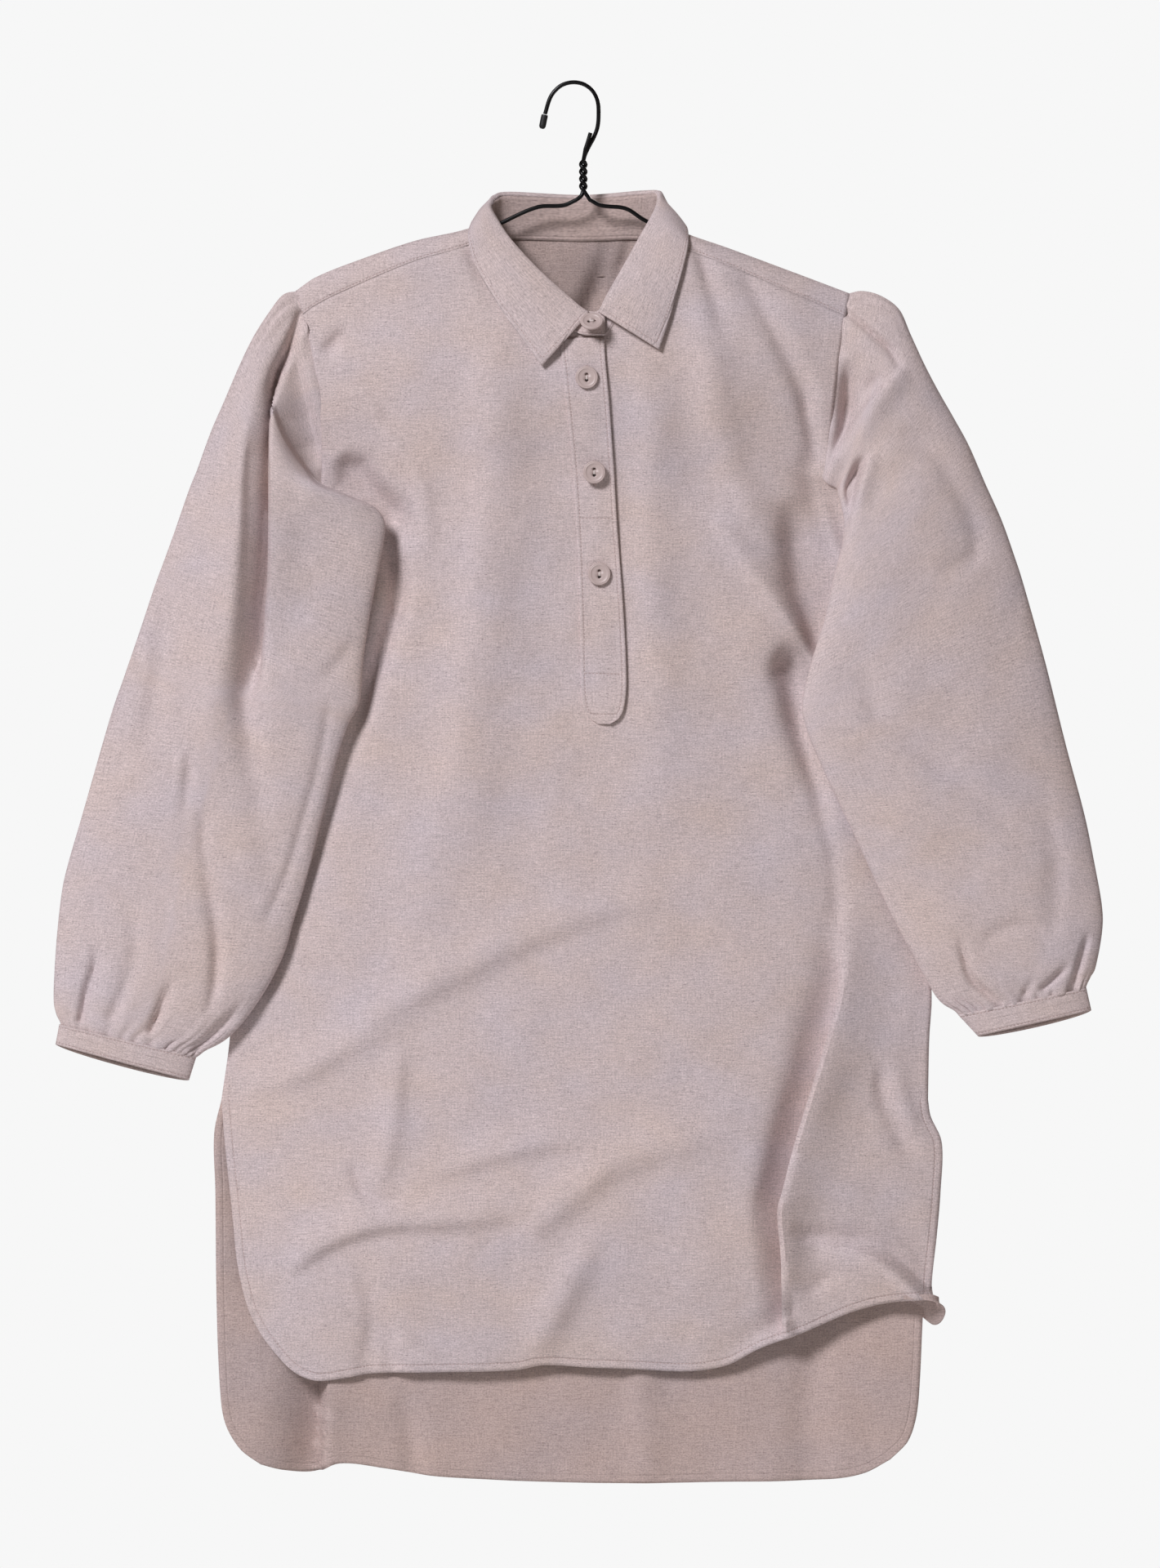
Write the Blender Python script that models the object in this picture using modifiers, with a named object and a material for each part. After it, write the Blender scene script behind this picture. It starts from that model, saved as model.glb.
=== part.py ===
# A long nightshirt in brushed cotton, hanging on a bent wire hanger.
# The origin is the point under the top of the hook, where a rod or a nail carries it.
# The front faces -Y, +Z is up, and left and right are as the viewer sees them.
# Lengths are written in millimetres and turned into metres when a mesh is made.

import math

import bmesh
import bpy
from mathutils import Vector

MM = 0.001

# Cloth
WALL = 1.2
SEAM_GAP = 0.8
STAND_GAP = 1.7
PLACKET_LIFT = 2.3
BUTTON_LIFT = 1.6
TAB_BUTTON_LIFT = 8.0

# Shoulders and armholes
SHOULDER_ROUNDING = 14.0
SHOULDER_POWER = 0.5
SHOULDER_HALF_DEPTH = 4.5
ARMHOLE_TOP = {-1: (-221.0, -165.0), 1: (220.0, -167.0)}
ARMHOLE_FOOT = {-1: (-201.0, -322.0), 1: (203.0, -312.0)}
ARMHOLE_BOW = {-1: 8.0, 1: 3.0}
ARMHOLE_HALF_DEPTH = 7.0
BACK_YOKE_Z = -225.0
BACK_YOKE_RISE = 3.0
YOKE_SEAM_AT_ARM = {-1: -184.0, 1: -185.0}
YOKE_FOLD_AT = 0.125
YOKE_CORNER_AT = 0.32

# How a panel's rows are shared between armhole, side seam and slit
FRONT_SIDE_SHARES = (7, 13, 8)
BACK_SIDE_SHARES = (4, 9, 7)

# Body section: a lens between the side seams
LENS_POWER = 2.6
SIDE_HALF_GAP = 0.85
SLIT_TOP_Z = -808.0
SLIT_SPREAD = 0.02

# Sleeve gathers and pleats
CUFF_GATHERS = 24
GATHER_HEIGHT = 1.5
GATHER_START = 0.80
GATHER_CALM = 0.5
HEAD_PLEATS = 6
HEAD_CALM = 0.35
HEAD_PLEAT_HEIGHT = 1.3
HEAD_PLEAT_END = 0.22
HEAD_SPAN = 0.14

# Buttons
BUTTON_RADIUS = 9.0
BUTTON_THICKNESS = 2.6
BUTTON_RIM = 1.6
BUTTON_DISH = 0.5
BUTTON_HOLE_RADIUS = 1.1
BUTTON_HOLE_SPACING = 4.4
# name, x, z, how far off the placket's cloth
BUTTONS = [
    ("button_collar", 14.5, -191.0, TAB_BUTTON_LIFT),
    ("button_1", 10.5, -235.0, BUTTON_LIFT),
    ("button_2", 16.5, -310.0, BUTTON_LIFT),
    ("button_3", 20.5, -390.5, BUTTON_LIFT),
]

# Hanger
WIRE_RADIUS = 1.5
TIP_RADIUS = 2.7
TWIST_X = 7.8
TWIST_TOP = -61.0
TWIST_FOOT = -84.0
TWIST_TURNS = 2.5
TWIST_RADIUS = 1.8
TWIST_STEPS = 20
HOOK_LEAN_TOP = -38.0
HOOK_LEAN_SPAN = 16.0

# The fold line over the shoulders: x, z. Between the necks it is the collar's own height.
RIDGE = [
    (-221, -165), (-205, -154), (-170, -140), (-126, -125), (-90, -117), (-66, -109),
    (-40, -97), (0, -90), (40, -97), (70, -110), (92, -120), (121, -130), (175, -150), (220, -167),
]

# Cloth fullness at a height: z, front, back
FULLNESS = [
    (-90, 13, 13), (-165, 15, 13), (-200, 18, 13), (-322, 21, 14), (-520, 22, 15),
    (-800, 24, 17), (-1115, 27, 20),
]

# Side seams, from the underarm to the top of the slit: x, z
SIDE_SEAM = {
    -1: [(-201, -322), (-229, -344), (-247, -367), (-256, -421), (-263, -518), (-268, -648),
         (-273, -756), (-280, -808)],
    1: [(203, -312), (233, -339), (254, -365), (262, -421), (270, -518), (278, -648),
        (285, -723), (283, -759), (282, -808)],
}

# Slit edges, from the top of the slit to the hem's rounded corner: x, z
SLIT_FRONT = {
    -1: [(-280, -808), (-278, -835), (-275, -865), (-271, -904), (-267, -941), (-259, -974),
         (-249, -994), (-238, -1009)],
    1: [(282, -808), (284, -821), (293, -842), (292, -881), (289, -916), (285, -955), (286, -966)],
}
SLIT_BACK = {
    -1: [(-280, -808), (-286, -835), (-285, -881), (-284, -974), (-281, -1044), (-277, -1067),
         (-265, -1087), (-249, -1099)],
    1: [(282, -808), (284, -835), (282, -900), (278, -982), (275, -1044), (272, -1065),
        (266, -1081), (252, -1095)],
}

# Hems, left to right: x, z
HEM_FRONT = [
    (-238, -1009), (-226, -1022), (-215, -1029), (-203, -1032), (-184, -1030), (-161, -1026),
    (-114, -1025), (-45, -1023), (-24, -1019), (12, -1021), (45, -1022), (92, -1024), (124, -1019),
    (150, -1006), (185, -993), (219, -978), (242, -971), (259, -968), (272, -967), (286, -966),
]
HEM_BACK = [
    (-249, -1099), (-231, -1104), (-207, -1106), (-187, -1098), (-151, -1102), (-114, -1108),
    (-68, -1111), (-21, -1113), (45, -1114), (115, -1113), (201, -1111), (231, -1106), (252, -1095),
]

# Neck seam and the stand on it, from the tab's end round the back to the right front.
# seam_x, seam_z, face (-1 front, 1 back), roll_x, roll_z, roll_y
NECK = [
    (25, -200.5, -1, 25, -184, -25.5),
    (5, -199, -1, 9, -182, -25.0),
    (-14, -185, -1, -4, -172, -22.0),
    (-38, -163, -1, -27, -151, -18.5),
    (-53, -144, -1, -49, -127, -13.0),
    (-62, -120, -1, -60, -109, -6.5),
    (-66, -109, 1, -65, -98, -1.0),
    (-61, -117, 1, -61, -91, 6.0),
    (-46, -122, 1, -49, -88, 13.0),
    (3, -123, 1, 7, -90, 20.0),
    (51, -122, 1, 54, -87, 13.0),
    (66, -118, 1, 66, -87, 5.0),
    (70, -110, 1, 66, -96, -1.0),
    (70, -122, -1, 61, -108, -6.5),
    (64, -139, -1, 52, -124, -10.5),
    (51, -160, -1, 40, -146, -15.0),
    (36, -183, -1, 28, -167, -18.5),
    (25, -200, -1, 20, -181, -20.5),
    (9, -200, -1, 11, -182, -20.0),
]
# Rows of that table where the tab begins, where the yoke seams meet it, and where the tab's
# place ends on the right
NECK_TAB, NECK_LEFT, NECK_RIGHT, NECK_PLACKET = 1, 5, 13, 17
TAB_LIFT = (3.6, 2.8)

# The leaf: roll_x, roll_z, roll_y, edge_x, edge_z, face, lift of the edge off the cloth below
LEAF = [
    (12, -185, -28.0, -25, -226, -1, 4.0),
    (-4, -171, -24.5, -40, -205, -1, 3.5),
    (-27, -150, -21.0, -63, -172, -1, 3.5),
    (-50, -125, -16.5, -78, -144, -1, 3.5),
    (-63, -106, -11.0, -83, -127, -1, 3.5),
    (-67, -99, -6.0, -83, -118, -1, 3.5),
    (-67.5, -95, -1.0, -81, -111, 0, 0),
    (-66, -91, 3.0, -82, -118, 1, 3.5),
    (-63, -88, 7.5, -80, -138, 1, 4.0),
    (-50, -85, 15.5, -60, -150, 1, 5.0),
    (7, -87, 23.0, 5, -152, 1, 6.0),
    (55, -84, 15.5, 62, -150, 1, 5.0),
    (69, -85, 7.5, 87, -138, 1, 4.0),
    (69.5, -89, 3.0, 91, -121, 1, 3.5),
    (69, -94, -1.0, 90, -114, 0, 0),
    (67, -99, -5.0, 91, -121, -1, 3.5),
    (63, -106, -9.0, 91, -130, -1, 3.5),
    (54, -122, -13.0, 87, -148, -1, 3.5),
    (42, -144, -18.0, 80, -174, -1, 3.5),
    (30, -165, -23.0, 75, -192, -1, 3.5),
    (20, -183, -28.0, 68, -213, -1, 4.0),
]
LEAF_BULGE = 3.0

# Placket, top to foot: left_x, left_z, right_x, right_z
PLACKET = [
    (-11, -203.5, 24.5, -203.5), (-10, -214, 25, -217), (-6.5, -247, 28, -250), (-1, -303, 32, -306),
    (2, -348, 34.5, -349), (5, -426, 40, -426), (6, -480, 42, -478), (8, -497, 40, -497),
    (13, -505, 36, -505), (20, -509.5, 29, -509.5),
]

# Sleeve rings, from the armhole to the cuff. The front and back of a ring are half ellipses.
# outer_x, outer_z, outer_y, inner_x, inner_z, inner_y, front depth, back depth
SLEEVE = {
    -1: [
        (-221, -165, 0, -201, -322, 0, 9, 9),
        (-232, -168, -1, -204, -317, -1, 11, 9),
        (-243, -183, -3, -206.5, -312, -2, 12, 8),
        (-255, -203, -5, -209.5, -307, -3.5, 12, 7),
        (-266, -226, -6, -212.5, -303, -6.5, 12, 6),
        (-277, -252, -7, -209, -311, -12.5, 12, 5),
        (-287, -275, -8, -200, -319, -17.5, 13, 4),
        (-294, -294, -8, -179, -328, -22, 15, 4),
        (-299, -308, -8, -159, -337, -24, 16, 4),
        (-304, -320, -8, -150, -349, -25, 16, 4),
        (-310, -337, -8, -151, -366, -25, 17, 4),
        (-318, -360, -7, -157, -398, -25, 17, 4),
        (-326, -382, -7, -162, -425, -24, 17, 4),
        (-333, -401, -6, -167, -460, -24, 17, 4),
        (-344, -434, -5, -170, -492, -24, 17, 4),
        (-357, -472, -5, -179, -510, -23, 17, 4),
        (-368, -504, -4, -188, -538, -21, 17, 4),
        (-389, -577, -3, -202, -593, -19, 16, 4),
        (-402, -622, -3, -213, -635, -18, 15, 4),
        (-407, -646, -3, -221, -661, -17, 15, 5),
        (-411, -685, -4, -231, -694, -16, 15, 5),
        (-413, -725, -5, -250, -729, -14, 14, 6),
        (-411, -739, -7, -274, -758, -11, 12, 8),
        (-407, -747, -8, -300, -772, -10, 10, 8),
    ],
    1: [
        (220, -167, 0, 203, -312, 0, 9, 9),
        (231, -165, -1, 205, -310, -1.5, 11, 9),
        (245, -169, -3, 208, -309, -3, 12, 8),
        (259, -180, -4, 209, -312, -5, 13, 7),
        (268, -200, -5, 209, -317, -8, 14, 6),
        (279, -224, -6, 211, -325, -11, 15, 5),
        (290, -245, -6, 213, -336, -14, 16, 4),
        (302, -266, -6, 215, -350, -16, 16, 4),
        (314, -288, -6, 213, -369, -19, 17, 4),
        (327, -318, -6, 206, -396, -21, 17, 4),
        (340, -347, -5, 199, -428, -22, 17, 4),
        (350, -375, -5, 189, -460, -23, 17, 4),
        (358, -400, -5, 182, -492, -23, 17, 4),
        (375, -461, -5, 185, -513, -23, 17, 4),
        (391, -525, -4, 199, -547, -21, 17, 4),
        (406, -581, -3, 220, -591, -18, 16, 4),
        (414, -620, -3, 233, -619, -16, 15, 4),
        (420, -654, -3, 247, -649, -15, 15, 5),
        (420, -675, -4, 260, -675, -14, 15, 5),
        (415, -702, -5, 278, -708, -13, 14, 6),
        (411, -710, -6, 291, -729, -11, 12, 8),
        (407, -718, -7, 307, -739, -10, 10, 8),
    ],
}

# Cuff rings, seam to hem, in the columns of the sleeve rings
CUFF = {
    -1: [(-408, -748, -8, -300, -773, -10, 10, 8), (-411, -764, -8, -306, -792, -10, 10, 8)],
    1: [(407, -719, -7, 306, -740, -10, 10, 8), (411, -737, -7, 322, -757, -10, 10, 8)],
}
CUFF_BACK_DROP = 4.0

# Folds: depth (plus goes inwards, minus stands out), half width, places along it (x, z)
FRONT_FOLDS = [
    (4, 9, [(99, -135), (108, -165), (119, -193)]),
    (6, 12, [(138, -157), (161, -200), (184, -245), (200, -310), (213, -382)]),
    (6, 14, [(168, -440), (184, -473)]),
    (4, 12, [(-196, -206), (-172, -219)]),
    (-4, 16, [(-209, -934), (-131, -911), (-53, -905), (0, -869), (116, -837)]),
    (5, 11, [(242, -622), (220, -713), (180, -827), (162, -898), (167, -983)]),
    (-8, 13, [(262, -622), (242, -713), (203, -827), (186, -898), (190, -985)]),
    (-7, 12, [(166, -904), (207, -915), (250, -930), (280, -960)]),
    (-2, 30, [(-50, -230), (-40, -480)]),
    (2, 30, [(60, -260), (58, -520)]),
]
BACK_FOLDS = [
    (-4, 14, [(120, -260), (150, -420), (160, -640)]),
    (-3, 18, [(-100, -260), (-110, -520)]),
    (-4, 16, [(10, -300), (0, -700)]),
    (5, 6, [(-200, -1034), (-201, -1105)]),
    (-4, 20, [(180, -800), (190, -1060)]),
]
SLEEVE_FOLDS = {
    -1: [
        (13, 8, [(-242, -246), (-243, -281), (-247, -318), (-251, -401), (-258, -489)]),
        (5, 9, [(-326, -420), (-318, -505)]),
        (4, 6, [(-380, -694), (-391, -739)]),
        (3, 6, [(-286, -661), (-282, -700)]),
        (-3, 14, [(-200, -400), (-215, -560)]),
    ],
    1: [
        (4, 6, [(215, -184), (238, -200), (253, -214), (262, -228)]),
        (6, 8, [(262, -228), (248, -240), (229, -263), (213, -289)]),
        (5, 7, [(221, -333), (233, -298)]),
        (4, 6, [(307, -692), (317, -716), (338, -729)]),
        (-3, 14, [(270, -400), (290, -520)]),
        (4, 10, [(250, -440), (270, -560)]),
    ],
}
EDGE_CALM = 25.0

# Hanger wire, points by hand: x, z
HOOK_ROUTE = [
    (-22.6, -23.8), (-18.9, -11.7), (-14.8, -5.3), (-8.5, -0.4), (0, 1.5), (8.5, -0.2),
    (15.4, -5.5), (19.2, -13.4), (20, -23), (19.2, -33.8), (16.3, -42), (12, -50), (9.2, -56),
]
TIP_ROUTE = [(-25.2, -35.4), (-24.9, -34.2), (-24.3, -31.5), (-23.6, -28.0), (-22.75, -24.4)]
FREE_END_ROUTE = [(13.6, -39), (11.5, -46), (9.2, -53)]
FREE_END_Y = -3.0
LEFT_ARM_ROUTE = [(2.5, -92), (-8, -96.5), (-29, -98), (-58.5, -111), (-81, -122)]
LEFT_END_ROUTE = [(-190, -160), (-201, -166), (-205, -173), (-203, -182), (-194, -189), (-182, -191)]
RIGHT_END_ROUTE = [(184, -193), (196, -190), (204, -184), (205, -175), (200, -167), (188, -161.5)]
RIGHT_ARM_ROUTE = [(85, -121), (57, -108.5), (41.6, -99), (22, -96.5), (13, -92)]

# Colours, linear
CLOTH_COLOUR = (0.49, 0.39, 0.37, 1.0)
BUTTON_COLOUR = (0.47, 0.36, 0.34, 1.0)
WIRE_COLOUR = (0.012, 0.012, 0.013, 1.0)


def lengths(points):
    """Stations from 0 to 1 along a list of points, by the distance between them."""
    total = [0.0]
    for here, there in zip(points, points[1:]):
        total.append(total[-1] + math.dist(here, there))
    return [step / total[-1] for step in total]


def through(stations, rows, t):
    """The smooth curve through rows at stations that rise, read at t."""
    t = min(max(t, stations[0]), stations[-1])
    k = 0
    while k < len(stations) - 2 and t > stations[k + 1]:
        k += 1
    span = stations[k + 1] - stations[k]
    f = (t - stations[k]) / span

    def slope(i):
        low = max(i - 1, 0)
        high = min(i + 1, len(rows) - 1)
        run = stations[high] - stations[low]
        return [(b - a) / run for a, b in zip(rows[low], rows[high])]

    start, end = slope(k), slope(k + 1)
    h00 = 2 * f**3 - 3 * f**2 + 1
    h10 = f**3 - 2 * f**2 + f
    h01 = 3 * f**2 - 2 * f**3
    h11 = f**3 - f**2
    return tuple(
        h00 * a + h10 * span * m + h01 * b + h11 * span * n
        for a, b, m, n in zip(rows[k], rows[k + 1], start, end)
    )


def by_column(rows, value):
    """A table read at a value of its first column, whichever way that column runs."""
    ordered = sorted(rows)
    return through([row[0] for row in ordered], [row[1:] for row in ordered], value)


def dense(points, count):
    """The smooth curve through points, as count short steps."""
    stations = lengths(points)
    return [through(stations, points, i / count) for i in range(count + 1)]


def along(points, t):
    """A close-set chain of points, read at t from 0 to 1 by length."""
    stations = lengths(points)
    k = 0
    while k < len(stations) - 2 and t > stations[k + 1]:
        k += 1
    span = stations[k + 1] - stations[k]
    f = min(max((t - stations[k]) / span, 0.0), 1.0)
    return tuple(a + (b - a) * f for a, b in zip(points[k], points[k + 1]))


def smoothstep(t):
    t = min(max(t, 0.0), 1.0)
    return t * t * (3 - 2 * t)


def ridge(x):
    return by_column(RIDGE, x)[0]


def armhole_share(side, z):
    """0 at the shoulder, 1 at the underarm, and how far the seam bows in between."""
    top, foot = ARMHOLE_TOP[side], ARMHOLE_FOOT[side]
    s = min(max((top[1] - z) / (top[1] - foot[1]), 0.0), 1.0)
    return s, 4 * s * (1 - s)


def armhole_x(side, z):
    """Where the armhole seam runs at a height: its chord, bowed towards the body."""
    s, bow = armhole_share(side, z)
    top, foot = ARMHOLE_TOP[side], ARMHOLE_FOOT[side]
    return top[0] + (foot[0] - top[0]) * s - side * bow * ARMHOLE_BOW[side]


def body_edge(side, z, face):
    """The body's edge at a height: armhole, side seam or slit."""
    if z >= ARMHOLE_FOOT[side][1]:
        return armhole_x(side, z)
    slit = SLIT_FRONT if face < 0 else SLIT_BACK
    rows = SIDE_SEAM[side] + slit[side][1:]
    return by_column([(row[1], row[0]) for row in rows], z)[0]


def edge_depth(z):
    """Half the gap between front and back along the body's edge."""
    s, bow = armhole_share(-1, z)
    slit = max(0.0, SLIT_TOP_Z - z) * SLIT_SPREAD
    return SIDE_HALF_GAP + SHOULDER_HALF_DEPTH * (1 - s) + ARMHOLE_HALF_DEPTH * bow + slit


def fold_depth(folds, x, z):
    """What a table of folds adds at a place: a soft trough or ridge beside each line."""
    total = 0.0
    for depth, width, line in folds:
        nearest, place = 1e9, 0.0
        for k in range(len(line) - 1):
            (x0, z0), (x1, z1) = line[k], line[k + 1]
            run = (x1 - x0) ** 2 + (z1 - z0) ** 2
            f = min(max(((x - x0) * (x1 - x0) + (z - z0) * (z1 - z0)) / run, 0.0), 1.0)
            gap = math.hypot(x - x0 - f * (x1 - x0), z - z0 - f * (z1 - z0))
            if gap < nearest:
                nearest, place = gap, (k + f) / (len(line) - 1)
        fade = smoothstep(min(place, 1 - place) / 0.2 + 0.25)
        total += depth * fade * math.exp(-(nearest / width) ** 2)
    return total


def body_depth(x, z, face):
    """The y of the body cloth at a place, in front (face -1) or behind (face 1)."""
    left, right = body_edge(-1, z, face), body_edge(1, z, face)
    across = min(max(2 * (x - left) / (right - left) - 1, -1.0), 1.0)
    front, back = by_column(FULLNESS, z)
    fullness = front if face < 0 else back
    below = max(0.0, ridge(x) - z)
    over = (1 - math.exp(-below / SHOULDER_ROUNDING)) ** SHOULDER_POWER
    lens = 1 - abs(across) ** LENS_POWER
    calm = smoothstep(min(x - left, right - x, below) / EDGE_CALM)
    folds = fold_depth(FRONT_FOLDS if face < 0 else BACK_FOLDS, x, z)
    return face * (edge_depth(z) + fullness * lens) * over - face * folds * calm


def on_body(x, z, face):
    return (x, body_depth(x, z, face), z)


def rooted(x, z, face):
    """A place as x and the root of its drop below the fold line, minus in front."""
    return x, face * math.sqrt(max(0.0, ridge(x) - z))


def unrooted(x, root):
    return x, ridge(x) - root * root


def neckline(row):
    """The neck seam at a row of its table, as x and the root of the drop."""
    return through(list(range(len(NECK))), [rooted(*r[:3]) for r in NECK], row)


def yoke_seam(side, t):
    """The front yoke seam from the neck (t 0) to the armhole (t 1)."""
    near = neckline(NECK_LEFT if side < 0 else NECK_RIGHT)
    arm_z = YOKE_SEAM_AT_ARM[side]
    far = rooted(armhole_x(side, arm_z), arm_z, -1)
    return unrooted(*(a + (b - a) * t for a, b in zip(near, far)))


def chain(pieces):
    """An edge made of chains of places, each with its share of the edge."""
    ends = [0.0]
    for _, share in pieces:
        ends.append(ends[-1] + share)

    def place(t):
        t = t * ends[-1]
        k = 0
        while k < len(pieces) - 1 and t > ends[k + 1]:
            k += 1
        return along(pieces[k][0], (t - ends[k]) / pieces[k][1])

    return place


def patch(top, foot, left, right):
    """A surface between four edges, each read from 0 to 1 as x, z places."""
    corners = (top(0), top(1), foot(0), foot(1))

    def place(u, v):
        t, b, l, r = top(u), foot(u), left(v), right(v)
        weights = ((1 - u) * (1 - v), u * (1 - v), (1 - u) * v, u * v)
        return tuple(
            (1 - v) * t[i] + v * b[i] + (1 - u) * l[i] + u * r[i]
            - sum(w * c[i] for w, c in zip(weights, corners))
            for i in (0, 1)
        )

    return place


def side_edge(side, start_z, slit, shares):
    """A panel's whole side: armhole, side seam and slit."""
    foot = ARMHOLE_FOOT[side][1]
    heights = [start_z + (foot - start_z) * i / 12 for i in range(13)]
    armhole = [(armhole_x(side, z), z) for z in heights]
    return chain([(armhole, shares[0]), (dense(SIDE_SEAM[side], 24), shares[1]),
                  (dense(slit[side], 24), shares[2])])


def front_surface():
    def neck(first, last):
        rows = [first + (last - first) * i / 16 for i in range(17)]
        return lowered([unrooted(*neckline(row)) for row in rows])

    def lowered(places):
        return [(x, z - SEAM_GAP) for x, z in places]

    seam_left = lowered([yoke_seam(-1, 1 - i / 10) for i in range(11)])
    seam_right = lowered([yoke_seam(1, i / 10) for i in range(11)])
    neck_left = neck(NECK_LEFT, NECK_TAB)
    neck_right = neck(NECK_PLACKET, NECK_RIGHT)
    top = chain([(seam_left, 7), (neck_left, 4), ([neck_left[-1], neck_right[0]], 2),
                 (neck_right, 4), (seam_right, 7)])
    foot = chain([(dense(HEM_FRONT, 60), 1)])
    left = side_edge(-1, seam_left[0][1], SLIT_FRONT, FRONT_SIDE_SHARES)
    right = side_edge(1, seam_right[-1][1], SLIT_FRONT, FRONT_SIDE_SHARES)
    place = patch(top, foot, left, right)
    return lambda u, v: on_body(*place(u, v), -1)


def back_seam_z(x):
    return BACK_YOKE_Z + BACK_YOKE_RISE * (1 - (x / ARMHOLE_FOOT[1][0]) ** 2)


def back_surface():
    sides = {side: armhole_x(side, BACK_YOKE_Z) for side in (-1, 1)}
    across = [sides[-1] + (sides[1] - sides[-1]) * i / 20 for i in range(21)]
    seam = [(x, back_seam_z(x) - SEAM_GAP) for x in across]
    left = side_edge(-1, seam[0][1], SLIT_BACK, BACK_SIDE_SHARES)
    right = side_edge(1, seam[-1][1], SLIT_BACK, BACK_SIDE_SHARES)
    place = patch(chain([(seam, 1)]), chain([(dense(HEM_BACK, 60), 1)]), left, right)
    return lambda u, v: on_body(*place(u, v), 1)


def yoke_surface():
    """A horseshoe round the neck, from the left front seam over the back to the right one."""

    def outer(u):
        side = -1 if u <= 0.5 else 1
        t = min(u, 1 - u)
        top = ARMHOLE_TOP[side][1]
        if t < YOKE_FOLD_AT:
            f = 1 - t / YOKE_FOLD_AT
            z = top + (YOKE_SEAM_AT_ARM[side] - top) * f * f
            return rooted(armhole_x(side, z), z, -1)
        if t < YOKE_CORNER_AT:
            f = (t - YOKE_FOLD_AT) / (YOKE_CORNER_AT - YOKE_FOLD_AT)
            z = top + (BACK_YOKE_Z - top) * f * f
            return rooted(armhole_x(side, z), z, 1)
        f = (t - YOKE_CORNER_AT) / (0.5 - YOKE_CORNER_AT)
        x = armhole_x(side, BACK_YOKE_Z) * (1 - f)
        return rooted(x, back_seam_z(x), 1)

    def place(u, v):
        near = neckline(NECK_LEFT + (NECK_RIGHT - NECK_LEFT) * u)
        far = outer(u)
        x, root = (a + (b - a) * v for a, b in zip(near, far))
        return on_body(*unrooted(x, root), -1 if root < 0 else 1)

    return place


def stand_surface():
    def seam(row):
        x, root = neckline(row)
        place = Vector(on_body(*unrooted(x, root), -1 if root < 0 else 1))
        if row < NECK_TAB + 1:
            place.y -= TAB_LIFT[0] if row < NECK_TAB else TAB_LIFT[1] * (NECK_TAB + 1 - row)
        return place

    stations = list(range(len(NECK)))
    rolls = [(r[3], r[5], r[4]) for r in NECK]

    def place(u, v):
        row = u * (len(NECK) - 1)
        low, high = seam(row), Vector(through(stations, rolls, row))
        start = low + (high - low).normalized() * STAND_GAP
        return tuple(start.lerp(high, v))

    return place


def leaf_surface():
    roll, edge = [], []
    for roll_x, roll_z, roll_y, edge_x, edge_z, face, lift in LEAF:
        roll.append((roll_x, roll_y, roll_z))
        if face:
            edge.append((edge_x, body_depth(edge_x, edge_z, face) + face * lift, edge_z))
        else:
            edge.append((edge_x, 0.0, edge_z))
    stations = [i / (len(LEAF) - 1) for i in range(len(LEAF))]

    def place(u, v):
        start, end = Vector(through(stations, roll, u)), Vector(through(stations, edge, u))
        point = start.lerp(end, v)
        outwards = Vector((0.0, start.y, 0.0)) * 0.05
        outwards.y = max(-1.0, min(1.0, outwards.y))
        outwards.z = 1 - abs(outwards.y)
        return tuple(point + outwards * LEAF_BULGE * math.sin(math.pi * v) ** 0.8)

    return place


def placket_surface():
    stations = lengths([row[:2] for row in PLACKET])

    def place(u, v):
        left_x, left_z, right_x, right_z = through(stations, PLACKET, v)
        x = left_x + (right_x - left_x) * u
        z = left_z + (right_z - left_z) * u
        return (x, body_depth(x, z, -1) - PLACKET_LIFT, z)

    return place


def ring_point(row, u):
    """A place on a ring: u 0 at the outer end, 0.5 at the inner end, the front half first."""
    outer_x, outer_z, outer_y, inner_x, inner_z, inner_y, front, back = row
    angle = 2 * math.pi * u
    s = (1 - math.cos(angle)) / 2
    depth = front if u <= 0.5 else back
    x = outer_x + (inner_x - outer_x) * s
    y = outer_y + (inner_y - outer_y) * s - depth * math.sin(angle)
    z = outer_z + (inner_z - outer_z) * s
    return Vector((x, y, z))


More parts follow.
